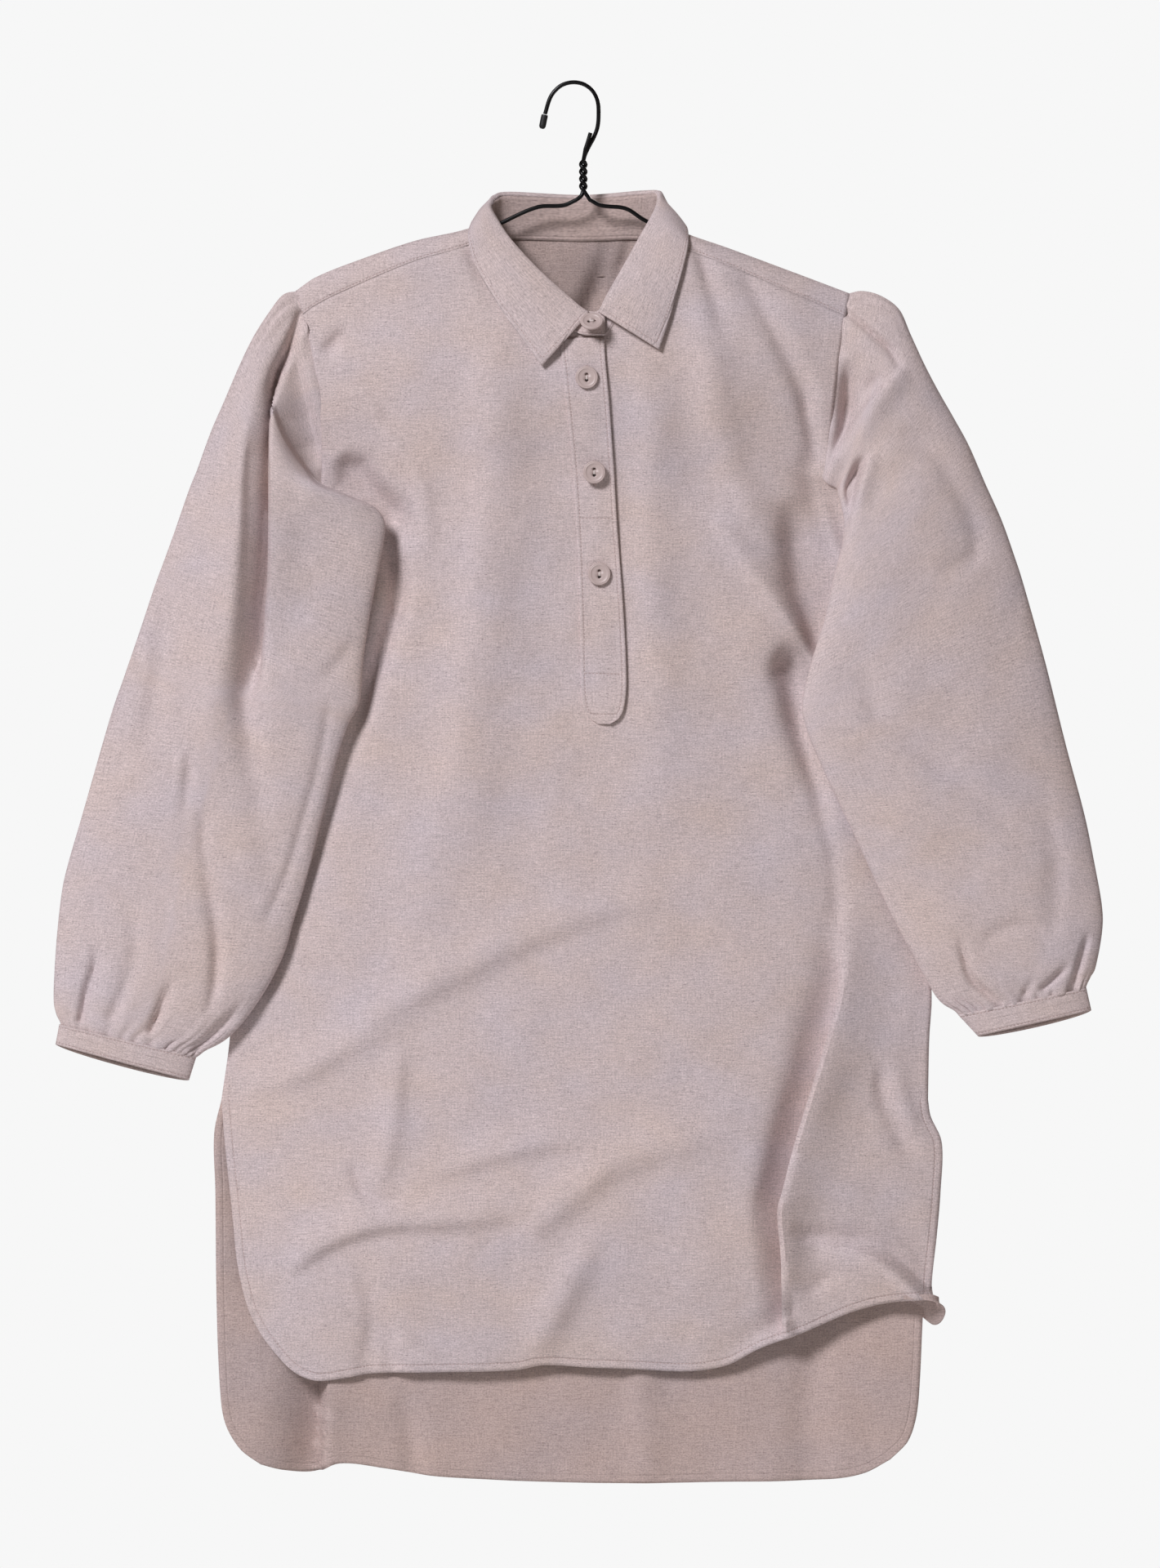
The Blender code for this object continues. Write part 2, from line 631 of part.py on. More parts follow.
def sleeve_surface(side):
    rows = SLEEVE[side]
    stations = [i / (len(rows) - 1) for i in range(len(rows))]

    def armhole(u):
        s = (1 - math.cos(2 * math.pi * u)) / 2
        top, foot = ARMHOLE_TOP[side][1], ARMHOLE_FOOT[side][1]
        z = top + (foot - top) * s
        x = armhole_x(side, z)
        face = -1 if u <= 0.5 else 1
        return Vector((x + side * SEAM_GAP, body_depth(x, z, face), z))

    def place(u, v):
        row = through(stations, rows, v)
        point = ring_point(row, u)
        fade = 1 - smoothstep(v / stations[3])
        point += (armhole(u) - ring_point(rows[0], u)) * fade
        angle = 2 * math.pi * u
        if u < 0.5:
            point.y += fold_depth(SLEEVE_FOLDS[side], point.x, point.z) * math.sin(angle) ** 0.5
        outer = Vector((row[0] - row[3], 0, row[1] - row[4])).normalized()
        outwards = outer * math.cos(angle) - Vector((0, math.sin(angle), 0))
        gathers = smoothstep((v - GATHER_START) / (1 - GATHER_START))
        gathers *= smoothstep(abs(math.sin(angle)) / GATHER_CALM)
        wave = GATHER_HEIGHT * gathers * math.cos(angle * CUFF_GATHERS)
        from_head = min(u, 1 - u)
        if from_head < HEAD_SPAN:
            head = smoothstep((HEAD_SPAN - from_head) / 0.05) * smoothstep(v / stations[1])
            head *= 1 - smoothstep(v / HEAD_PLEAT_END)
            head *= smoothstep(abs(math.sin(angle)) / HEAD_CALM)
            wave += HEAD_PLEAT_HEIGHT * head * math.cos(math.pi * from_head / HEAD_SPAN * HEAD_PLEATS)
        return tuple(point + outwards * wave)

    return place


def cuff_surface(side):
    def place(u, v):
        top, hem = CUFF[side]
        row = [a + (b - a) * v for a, b in zip(top, hem)]
        point = ring_point(row, u)
        if u > 0.5:
            point.z -= CUFF_BACK_DROP * v * math.sin(math.pi * (2 * u - 1))
        return tuple(point)

    return place


def material(name, colour, roughness, metallic=0.0):
    made = bpy.data.materials.new(name)
    made.use_nodes = True
    surface = made.node_tree.nodes["Principled BSDF"]
    surface.inputs["Base Color"].default_value = colour
    surface.inputs["Roughness"].default_value = roughness
    surface.inputs["Metallic"].default_value = metallic
    return made


def add_object(name, mesh, finish, collection):
    made = bpy.data.objects.new(name, mesh)
    mesh.materials.append(finish)
    collection.objects.link(made)
    return made


def cloth_sheet(name, place, across, down, collection, tube=False, finer=None):
    """Cloth: a grid of places, cut finer where asked, laid on a surface and given its wall."""
    bm = bmesh.new()
    bmesh.ops.create_grid(bm, x_segments=across, y_segments=down, size=0.5)
    if finer:
        level = [e for e in bm.edges if abs(e.verts[0].co.y - e.verts[1].co.y) < 1e-6]
        middle = {e: (e.verts[0].co + e.verts[1].co) / 2 for e in level}
        chosen = [e for e in level if finer(middle[e].x + 0.5, middle[e].y + 0.5)]
        bmesh.ops.subdivide_edges(bm, edges=chosen, cuts=2, use_grid_fill=True)
    for vert in bm.verts:
        vert.co = Vector(place(vert.co.x + 0.5, vert.co.y + 0.5)) * MM
    if tube:
        bmesh.ops.remove_doubles(bm, verts=bm.verts, dist=0.000002)
    bmesh.ops.recalc_face_normals(bm, faces=bm.faces)
    mesh = bpy.data.meshes.new(name)
    bm.to_mesh(mesh)
    bm.free()
    made = add_object(name, mesh, material(name + "_cotton", CLOTH_COLOUR, 0.9), collection)
    wall = made.modifiers.new("wall", "SOLIDIFY")
    wall.thickness = WALL * MM
    wall.offset = 0.0
    wall.use_quality_normals = True
    mesh.shade_smooth()
    return made


def cylinder(name, radius, depth, segments):
    """A cylinder along Y, centred on its object's origin."""
    bm = bmesh.new()
    bmesh.ops.create_cone(bm, cap_ends=True, segments=segments, radius1=radius * MM,
                          radius2=radius * MM, depth=depth * MM)
    for vert in bm.verts:
        vert.co = Vector((vert.co.x, vert.co.z, -vert.co.y))
    bmesh.ops.recalc_face_normals(bm, faces=bm.faces)
    mesh = bpy.data.meshes.new(name)
    bm.to_mesh(mesh)
    bm.free()
    return mesh


def button(name, x, z, lift, collection, cutters):
    """A dished two-hole button, one hole above the other, just off the cloth."""
    mesh = cylinder(name, BUTTON_RADIUS, BUTTON_THICKNESS, 20)
    bm = bmesh.new()
    bm.from_mesh(mesh)
    face = min(bm.faces, key=lambda f: f.calc_center_median().y)
    bmesh.ops.inset_region(bm, faces=[face], thickness=BUTTON_RIM * MM)
    for vert in face.verts:
        vert.co.y += BUTTON_DISH * MM
    bm.to_mesh(mesh)
    bm.free()
    reach = (-BUTTON_RADIUS, 0, BUTTON_RADIUS)
    base = min(body_depth(x + dx, z + dz, -1) for dx in reach for dz in reach)
    y = base - PLACKET_LIFT - lift - BUTTON_THICKNESS / 2
    made = add_object(name, mesh, material(name + "_resin", BUTTON_COLOUR, 0.45), collection)
    made.location = Vector((x, y, z)) * MM
    for step in (-0.5, 0.5):
        hole = bpy.data.objects.new(name + "_hole", cylinder(name + "_hole", BUTTON_HOLE_RADIUS,
                                                             3 * BUTTON_THICKNESS, 8))
        hole.location = made.location + Vector((0, 0, step * BUTTON_HOLE_SPACING * MM))
        hole.hide_render = True
        hole.display_type = "WIRE"
        cutters.objects.link(hole)
        cut = made.modifiers.new("hole", "BOOLEAN")
        cut.operation = "DIFFERENCE"
        cut.object = hole
    return made


def wire(name, points, radius, finish, collection, radii=None):
    """Round wire along a chain of places."""
    curve = bpy.data.curves.new(name, "CURVE")
    curve.dimensions = "3D"
    curve.bevel_depth = radius * MM
    curve.bevel_resolution = 2
    curve.use_fill_caps = True
    spline = curve.splines.new("POLY")
    spline.points.add(len(points) - 1)
    for index, (point, place) in enumerate(zip(spline.points, points)):
        point.co = (*(Vector(place) * MM), 1.0)
        point.radius = radii[index] if radii else 1.0
    return add_object(name, curve, finish, collection)


def flat(route):
    return [(x, 0.0, z) for x, z in route]


def twist(start_angle):
    """One strand of the twisted neck, top to foot."""
    steps = TWIST_STEPS
    strand = []
    for i in range(steps + 1):
        angle = start_angle + 2 * math.pi * TWIST_TURNS * i / steps
        z = TWIST_TOP + (TWIST_FOOT - TWIST_TOP) * i / steps
        strand.append((TWIST_X + TWIST_RADIUS * math.cos(angle), TWIST_RADIUS * math.sin(angle), z))
    return strand


def hanger(collection):
    """The hook and frame are one wire, parted at the foot of the twisted neck."""
    paint = material("black_painted_wire", WIRE_COLOUR, 0.35)
    rubber = material("black_rubber_tip", WIRE_COLOUR, 0.7)
    back_strand, front_strand = twist(math.pi / 2), twist(-math.pi / 2)
    leaning = [(x, TWIST_RADIUS * smoothstep((HOOK_LEAN_TOP - z) / HOOK_LEAN_SPAN), z)
               for x, z in HOOK_ROUTE]
    hook = dense(leaning + [back_strand[0]], 26)[:-1] + back_strand
    wire("hanger_hook", hook, WIRE_RADIUS, paint, collection)
    free_end = [(x, FREE_END_Y, z) for x, z in FREE_END_ROUTE]
    loop = dense(flat(LEFT_ARM_ROUTE), 7) + dense(flat(LEFT_END_ROUTE), 8)
    loop += dense(flat(RIGHT_END_ROUTE), 8) + dense(flat(RIGHT_ARM_ROUTE), 7)
    tail = list(reversed(front_strand)) + list(reversed(free_end))
    wire("hanger_frame", loop + tail, WIRE_RADIUS, paint, collection)
    wire("hanger_tip", flat(TIP_ROUTE), TIP_RADIUS, rubber, collection, radii=[0.6, 0.9, 1, 1, 0.95])


def build():
    for old in list(bpy.data.objects):
        bpy.data.objects.remove(old, do_unlink=True)
    garment = bpy.data.collections.new("nightshirt")
    cutters = bpy.data.collections.new("cutters")
    bpy.context.scene.collection.children.link(garment)
    bpy.context.scene.collection.children.link(cutters)

    cloth_sheet("front", front_surface(), 24, sum(FRONT_SIDE_SHARES), garment)
    cloth_sheet("back", back_surface(), 14, sum(BACK_SIDE_SHARES), garment)
    cloth_sheet("yoke", yoke_surface(), 32, 6, garment)
    cloth_sheet("collar_stand", stand_surface(), 2 * (len(NECK) - 1), 2, garment)
    cloth_sheet("collar_fall", leaf_surface(), 2 * (len(LEAF) - 1), 3, garment)
    cloth_sheet("placket", placket_surface(), 2, 14, garment)
    for side, word in ((-1, "left"), (1, "right")):
        rings = len(SLEEVE[side]) - 1

        def finer(u, v, rings=rings):
            at_head = min(u, 1 - u) < HEAD_SPAN and v < 2.5 / rings
            return at_head or v > 1 - 2.5 / rings

        cloth_sheet("sleeve_" + word, sleeve_surface(side), 24, rings, garment, True, finer)
        cloth_sheet("cuff_" + word, cuff_surface(side), 32, 1, garment, True)
    for name, x, z, lift in BUTTONS:
        button(name, x, z, lift, garment, cutters)
    hanger(garment)


build()
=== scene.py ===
import math

import bmesh
import bpy
import numpy as np
from mathutils import Matrix, Vector
from mathutils.bvhtree import BVHTree
from mathutils.kdtree import KDTree


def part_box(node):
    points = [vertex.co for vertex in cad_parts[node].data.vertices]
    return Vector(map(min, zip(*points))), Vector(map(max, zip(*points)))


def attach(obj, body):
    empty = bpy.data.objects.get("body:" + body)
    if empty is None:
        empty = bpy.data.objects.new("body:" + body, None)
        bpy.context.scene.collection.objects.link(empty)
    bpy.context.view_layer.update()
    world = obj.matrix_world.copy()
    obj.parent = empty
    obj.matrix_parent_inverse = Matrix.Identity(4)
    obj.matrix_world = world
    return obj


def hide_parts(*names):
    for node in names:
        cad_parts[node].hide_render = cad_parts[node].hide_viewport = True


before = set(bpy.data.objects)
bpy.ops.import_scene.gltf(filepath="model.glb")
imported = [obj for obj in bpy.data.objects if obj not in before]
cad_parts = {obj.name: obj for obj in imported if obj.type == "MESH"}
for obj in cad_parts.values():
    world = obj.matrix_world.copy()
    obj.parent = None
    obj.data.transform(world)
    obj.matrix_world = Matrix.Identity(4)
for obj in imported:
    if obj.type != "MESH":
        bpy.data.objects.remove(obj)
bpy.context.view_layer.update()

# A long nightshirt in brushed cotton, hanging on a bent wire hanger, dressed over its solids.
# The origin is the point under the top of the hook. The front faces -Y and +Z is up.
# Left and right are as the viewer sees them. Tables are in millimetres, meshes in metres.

MM = 0.001
SAME_PLACE = 0.002 * MM

# Cloth: one layer, and the thicker made-up pieces. A fold past SHARP_FOLD, in radians, keeps a hard edge.
WALL = 0.7
MADE_UP_WALL = 1.3
SHARP_FOLD = 1.0
SEAM_GAP = 0.1
STAND_GAP = -1.2
STAND_BACK_OFFSET = 0.4
ARMHOLE_LAP = 1.5
ARMHOLE_FOOT_LAP = 4.0

# Shoulders and armholes, as on the solids
SHOULDER_ROUNDING = 14.0
SHOULDER_POWER = 0.5
SHOULDER_HALF_DEPTH = 4.5
ARMHOLE_TOP = {-1: (-221.0, -165.0), 1: (220.0, -167.0)}
ARMHOLE_FOOT = {-1: (-201.0, -322.0), 1: (203.0, -312.0)}
ARMHOLE_BOW = {-1: 8.0, 1: 3.0}
ARMHOLE_HALF_DEPTH = 7.0
BACK_YOKE_Z = -225.0
BACK_YOKE_RISE = 3.0
YOKE_SEAM_AT_ARM = {-1: -184.0, 1: -185.0}
YOKE_FOLD_AT = 0.125
YOKE_CORNER_AT = 0.32
FRONT_SIDE_SHARES = (7, 13, 8)
BACK_SIDE_SHARES = (4, 9, 7)

# Body section: a lens between the side seams, with calm edges
LENS_POWER = 2.6
LENS_REACH = 42.0
SIDE_HALF_GAP = 0.85
SLIT_TOP_Z = -808.0
SLIT_SPREAD = 0.006
SLIT_CALM_END = 40.0
EDGE_CALM = 25.0
# What an inward fold of the front leaves free before the back, and the least depth that it keeps
PANEL_ROOM = 3.0
LEAST_ROOM = 0.5

# How finely each piece is divided: across, down
FRONT_GRID = (168, 224)
BACK_GRID = (140, 180)
YOKE_GRID = (160, 48)
STAND_GRID = (144, 12)
LEAF_GRID = (200, 32)
PLACKET_GRID = (24, 170)
CORNER_GRID = (48, 16)
SLEEVE_GRID = (180, 190)
CUFF_GRID = (168, 10)

# Where a long fold laps over the cloth on its left, a column of the grid follows its edge
LAP_REACH = 8.0
LAP_SPAN = 14.0
LAP_FULL_GAP = 3.0
LAP_EDGE_GAP = 0.6
FRONT_LAP_COLUMN = 130 / FRONT_GRID[0]
FRONT_LAP_COLUMN_REACH = 0.19
FRONT_LAP_TOP = -640.0
FRONT_LAP_FADE = 60.0
SLEEVE_LAP_COLUMN = 0.25
SLEEVE_LAP_COLUMN_REACH = 0.13
SLEEVE_LAP_END = 0.249

# How deep the folds are drawn against their tables
FRONT_DEPTH = 1.5
BACK_DEPTH = 1.5
SLEEVE_DEPTH = 1.35

# Faint waves over all the cloth: length, turn in radians, height
RIPPLES = [(61, 0.3, 0.35), (47, 1.3, 0.25), (83, 2.2, 0.4), (35, 0.9, 0.15), (29, 2.7, 0.12)]

# Sleeves: gathers over the cuff, the tuck into it, and pleats at the head
SLEEVE_ROOM = 2.5
ARMHOLE_CLOSE = 0.08
GATHERS = 31
GATHER_START = 0.87
GATHER_START_RANGE = 0.1
GATHER_END = 0.99
GATHER_HEIGHT = 1.6
GATHER_HEIGHT_RANGE = 1.8
GATHER_CALM = 0.5
TUCK_START = 0.985
TUCK_SPAN = 0.015
TUCK_DEPTH = 0.9
TUCK_DROP = 3.0
HEAD_PLEATS = 6
HEAD_PLEAT_HEIGHT = 1.3
HEAD_PLEAT_END = 0.2
HEAD_SPAN = 0.14
HEAD_SPAN_FADE = 0.05
HEAD_CALM = 0.35
CUFF_BACK_DROP = 4.0

# Placket: its edge stands off the front a little more at its right
PLACKET_LIFT_LEFT = 0.7
PLACKET_LIFT = 1.3
PLACKET_LIFT_RATE = 1.6
PLACKET_LIFT_RIGHT = 0.8
PLACKET_EDGE_SHARE = 0.2

# Made-up pieces in their own millimetres: along, down
LEAF_SIZE = (430, 55)
STAND_SIZE = (430, 27)
CUFF_SIZE = (245, 19)
SLEEVE_SIZE = (370, 600)

# Stitches
HEM_TURN = 6.2
YOKE_STITCH_INSET = 1.8
PLACKET_STITCH_INSET = 3.2
STITCH_PITCH = 2.9
BUTTONHOLE_PITCH = 1.6
BUTTONHOLE_HALF_WIDTH = 0.6
BUTTONHOLE_REACH = (10.5, -11.2)
STITCH_LENGTH = 2.1
STITCH_WIDTH = 0.3
STITCH_SINK = 0.52
NO_STITCH = 50.0

# Buttons. Profile: radius, depth, from the face's middle round the rim to the back
BUTTON_SHIFT = 0.5
BUTTON_PROFILE = [
    (4.3, -0.7), (5.9, -0.75), (6.5, -0.95), (6.9, -1.3), (7.3, -1.35), (7.6, -1.15), (7.8, -1.1),
    (8.1, -1.3), (8.6, -1.2), (8.95, -0.7), (9.0, 0.3), (8.2, 1.0), (4.3, 1.1),
]
BUTTON_HOLE_STEP = 2.3
BUTTON_HOLE_RADIUS = 1.35
TAB_BUTTON_TIP = -42.0
TAB_BUTTON_TURN = 80.0
STRAND_SIZE = (0.3, 0.42, 1.95)
STRAND_SHIFTS = (-0.45, 0.0, 0.45)
STRAND_DEPTH = -0.8

# Hanger
WIRE_RADIUS = 1.65
TIP_RADIUS = 2.7
TWIST_X = 7.8
TWIST_TOP = -61.0
TWIST_FOOT = -84.0
TWIST_TURNS = 2.0
TWIST_RADIUS = 1.8
HOOK_LEAN_TOP = -38.0
HOOK_LEAN_SPAN = 16.0

# Camera: a long lens, level, straight in front
SENSOR_WIDTH = 36.0
VIEW_X = 5.2
VIEW_Z = -557.0
VIEW_WIDTH = 923.0
VIEW_DISTANCE = 6500.0

# Studio, in metres. Lights: name, place, size, power in watts, tint
LIGHTS = [
    ("key_light", (-5.1, -7.3, 5.5), 2.8, 1060.0, "#f9f9ff"),
    ("fill_light", (3.6, -3.6, 0.0), 2.5, 9.0, "#fff0e4"),
    ("back_light", (2.2, 4.6, 1.8), 2.5, 170.0, "#fbf8f6"),
]
FLOOR_REACH = 3.0
FLOOR_Z = -1.6
SURROUND_STRENGTH = 0.09

# The fold line over the shoulders: x, z
RIDGE = [
    (-221, -165), (-205, -154), (-170, -140), (-126, -125), (-90, -117), (-66, -109),
    (-40, -97), (0, -90), (40, -97), (70, -110), (92, -120), (121, -130), (175, -150), (220, -167),
]

# Cloth fullness at a height: z, front, back
FULLNESS = [
    (-90, 13, 13), (-165, 15, 13), (-200, 18, 13), (-322, 21, 14), (-520, 22, 15),
    (-800, 24, 17), (-930, 22, 13), (-1000, 9, 5), (-1030, 3, 2), (-1115, 8, 4),
]

# Side seams, from the underarm to the top of the slit: x, z
SIDE_SEAM = {
    -1: [(-201, -322), (-229, -344), (-247, -367), (-256, -421), (-263, -518), (-268, -648),
         (-273, -756), (-280, -808)],
    1: [(203, -312), (233, -339), (254, -365), (262, -421), (270, -518), (278, -648),
        (285, -723), (283, -759), (282, -808)],
}

# Slit edges, from the top of the slit to the hem's rounded corner: x, z
SLIT_FRONT = {
    -1: [(-280, -808), (-278, -835), (-275, -865), (-271, -904), (-267, -941), (-259, -974),
         (-249, -994), (-238, -1009)],
    1: [(282, -808), (284, -821), (293, -842), (292, -881), (289, -916), (285, -955), (286, -966)],
}
SLIT_BACK = {
    -1: [(-280, -808), (-286, -835), (-285, -881), (-284, -974), (-281, -1044), (-277, -1067),
         (-265, -1087), (-249, -1099)],
    1: [(282, -808), (284, -835), (282, -900), (278, -982), (275, -1044), (272, -1065),
        (266, -1081), (252, -1095)],
}

# Hems, left to right: x, z
HEM_FRONT = [
    (-238, -1009), (-226, -1022), (-215, -1029), (-203, -1032), (-184, -1030), (-161, -1026),
    (-114, -1025), (-45, -1023), (-24, -1019), (12, -1021), (45, -1022), (92, -1024), (124, -1019),
    (150, -1006), (185, -993), (219, -978), (242, -971), (259, -968), (272, -967), (286, -966),
]
HEM_BACK = [
    (-249, -1099), (-231, -1104), (-207, -1106), (-187, -1098), (-151, -1102), (-114, -1108),
    (-68, -1111), (-21, -1113), (45, -1114), (115, -1113), (201, -1111), (231, -1106), (252, -1095),
]

# Neck seam and the stand on it: seam_x, seam_z, face, roll_x, roll_z, roll_y
NECK = [
    (25, -200.5, -1, 25, -184, -25.5),
    (5, -199, -1, 9, -182, -25.0),
    (-14, -185, -1, -4, -172, -22.0),
    (-38, -163, -1, -27, -151, -18.5),
    (-53, -144, -1, -49, -127, -13.0),
    (-62, -120, -1, -60, -109, -6.5),
    (-66, -109, 1, -65, -98, -1.0),
    (-61, -117, 1, -61, -91, 6.0),
    (-46, -122, 1, -49, -88, 13.0),
    (3, -123, 1, 7, -90, 20.0),
    (51, -122, 1, 54, -87, 13.0),
    (66, -118, 1, 66, -87, 5.0),
    (70, -110, 1, 66, -96, -1.0),
    (70, -122, -1, 61, -108, -6.5),
    (64, -139, -1, 52, -124, -10.5),
    (51, -160, -1, 40, -146, -15.0),
    (36, -183, -1, 28, -167, -18.5),
    (25, -200, -1, 20, -181, -20.5),
    (9, -200, -1, 11, -182, -20.0),
]
NECK_TAB, NECK_LEFT, NECK_RIGHT, NECK_PLACKET = 1, 5, 13, 17
TAB_LIFT = (3.6, 2.8)

# The leaf: roll_x, roll_z, roll_y, edge_x, edge_z, face, lift of the edge off the cloth below
LEAF = [
    (12, -185, -28.0, -25, -226, -1, 4.0),
    (-4, -171, -24.5, -40, -205, -1, 3.5),
    (-27, -150, -21.0, -63, -172, -1, 3.5),
    (-50, -125, -16.5, -78, -144, -1, 3.5),
    (-63, -106, -11.0, -83, -127, -1, 3.5),
    (-67, -99, -6.0, -83, -118, -1, 3.5),
    (-67.5, -95, -1.0, -81, -111, 0, 0),
    (-66, -91, 3.0, -82, -118, 1, 3.5),
    (-63, -88, 7.5, -80, -138, 1, 4.0),
    (-50, -85, 15.5, -60, -150, 1, 5.0),
    (7, -87, 23.0, 5, -152, 1, 6.0),
    (55, -84, 15.5, 62, -150, 1, 5.0),
    (69, -85, 7.5, 87, -138, 1, 4.0),
    (69.5, -89, 3.0, 91, -121, 1, 3.5),
    (69, -94, -1.0, 90, -114, 0, 0),
    (67, -99, -5.0, 91, -121, -1, 3.5),
    (63, -106, -9.0, 91, -130, -1, 3.5),
    (54, -122, -13.0, 87, -148, -1, 3.5),
    (42, -144, -18.0, 80, -174, -1, 3.5),
    (30, -165, -23.0, 75, -192, -1, 3.5),
    (20, -183, -28.0, 68, -213, -1, 4.0),
]
LEAF_BULGE = 3.0
LEAF_BULGE_POWER = 0.8
LEAF_LEAN = 0.05
LEAF_ROLL = 0.1
LEAF_ROLL_HEIGHT = 0.9

# Placket, top to foot: left_x, left_z, right_x, right_z
PLACKET = [
    (-11, -203.5, 24.5, -203.5), (-10, -214, 25, -217), (-6.5, -247, 28, -250), (-1, -303, 32, -306),
    (2, -348, 34.5, -349), (5, -426, 40, -426), (6, -480, 42, -478), (8, -497, 40, -497),
    (13, -505, 36, -505), (20, -509.5, 29, -509.5),
]

# Buttons: name, x, z
BUTTONS = [
    ("button_collar", 14.5, -191.0),
    ("button_1", 10.5, -235.0),
    ("button_2", 16.5, -310.0),
    ("button_3", 20.5, -390.5),
]

# Sleeve rings, from the armhole to the cuff
# outer_x, outer_z, outer_y, inner_x, inner_z, inner_y, front depth, back depth
SLEEVE = {
    -1: [
        (-221, -165, 0, -201, -322, 0, 9, 9),
        (-232, -168, -1, -203, -323, -1, 11, 9),
        (-243, -183, -3, -206, -322, -2, 12, 8),
        (-255, -203, -5, -210, -318, -3.5, 12, 7),
        (-266, -226, -6, -214, -308, -6.5, 12, 6),
        (-277, -252, -7, -209, -311, -12.5, 12, 5),
        (-287, -275, -8, -200, -319, -17.5, 13, 4),
        (-294, -294, -8, -179, -328, -22, 15, 4),
        (-299, -308, -8, -159, -337, -24, 16, 4),
        (-304, -320, -8, -150, -349, -25, 16, 4),
        (-310, -337, -8, -151, -366, -25, 17, 4),
        (-318, -360, -7, -157, -398, -25, 17, 4),
        (-326, -382, -7, -162, -425, -24, 17, 4),
        (-333, -401, -6, -167, -460, -24, 17, 4),
        (-344, -434, -5, -170, -492, -24, 17, 4),
        (-357, -472, -5, -179, -510, -23, 17, 4),
        (-368, -504, -4, -188, -538, -21, 17, 4),
        (-389, -577, -3, -202, -593, -19, 16, 4),
        (-402, -622, -3, -213, -635, -18, 15, 4),
        (-407, -646, -3, -221, -661, -17, 15, 5),
        (-411, -685, -4, -231, -694, -16, 15, 5),
        (-413, -725, -5, -250, -729, -14, 14, 6),
        (-411, -739, -7, -274, -758, -11, 12, 8),
        (-407, -747, -8, -300, -772, -10, 10, 8),
    ],
    1: [
        (220, -167, 0, 203, -312, 0, 9, 9),
        (231, -165, -1, 206, -318, -1.5, 11, 9),
        (245, -169, -3, 209, -321, -3, 12, 8),
        (259, -180, -4, 210, -323, -5, 13, 7),
        (268, -200, -5, 210, -325, -8, 14, 6),
        (279, -224, -6, 211, -329, -11, 15, 5),
        (290, -245, -6, 213, -336, -14, 16, 4),
        (302, -266, -6, 215, -350, -16, 16, 4),
        (314, -288, -6, 213, -369, -19, 17, 4),
        (327, -318, -6, 206, -396, -21, 17, 4),
        (340, -347, -5, 199, -428, -22, 17, 4),
        (350, -375, -5, 189, -460, -23, 17, 4),
        (358, -400, -5, 182, -492, -23, 17, 4),
        (375, -461, -5, 185, -513, -23, 17, 4),
        (391, -525, -4, 199, -547, -21, 17, 4),
        (406, -581, -3, 220, -591, -18, 16, 4),
        (414, -620, -3, 233, -619, -16, 15, 4),
        (420, -654, -3, 247, -649, -15, 15, 5),
        (420, -675, -4, 260, -675, -14, 15, 5),
        (415, -702, -5, 278, -708, -13, 14, 6),
        (411, -710, -6, 291, -729, -11, 12, 8),
        (407, -718, -7, 307, -739, -10, 10, 8),
    ],
}
CUFF = {
    -1: [(-408, -748, -8, -300, -773, -10, 10, 8), (-411, -764, -8, -306, -792, -10, 10, 8)],
    1: [(407, -719, -7, 306, -740, -10, 10, 8), (411, -737, -7, 322, -757, -10, 10, 8)],
}

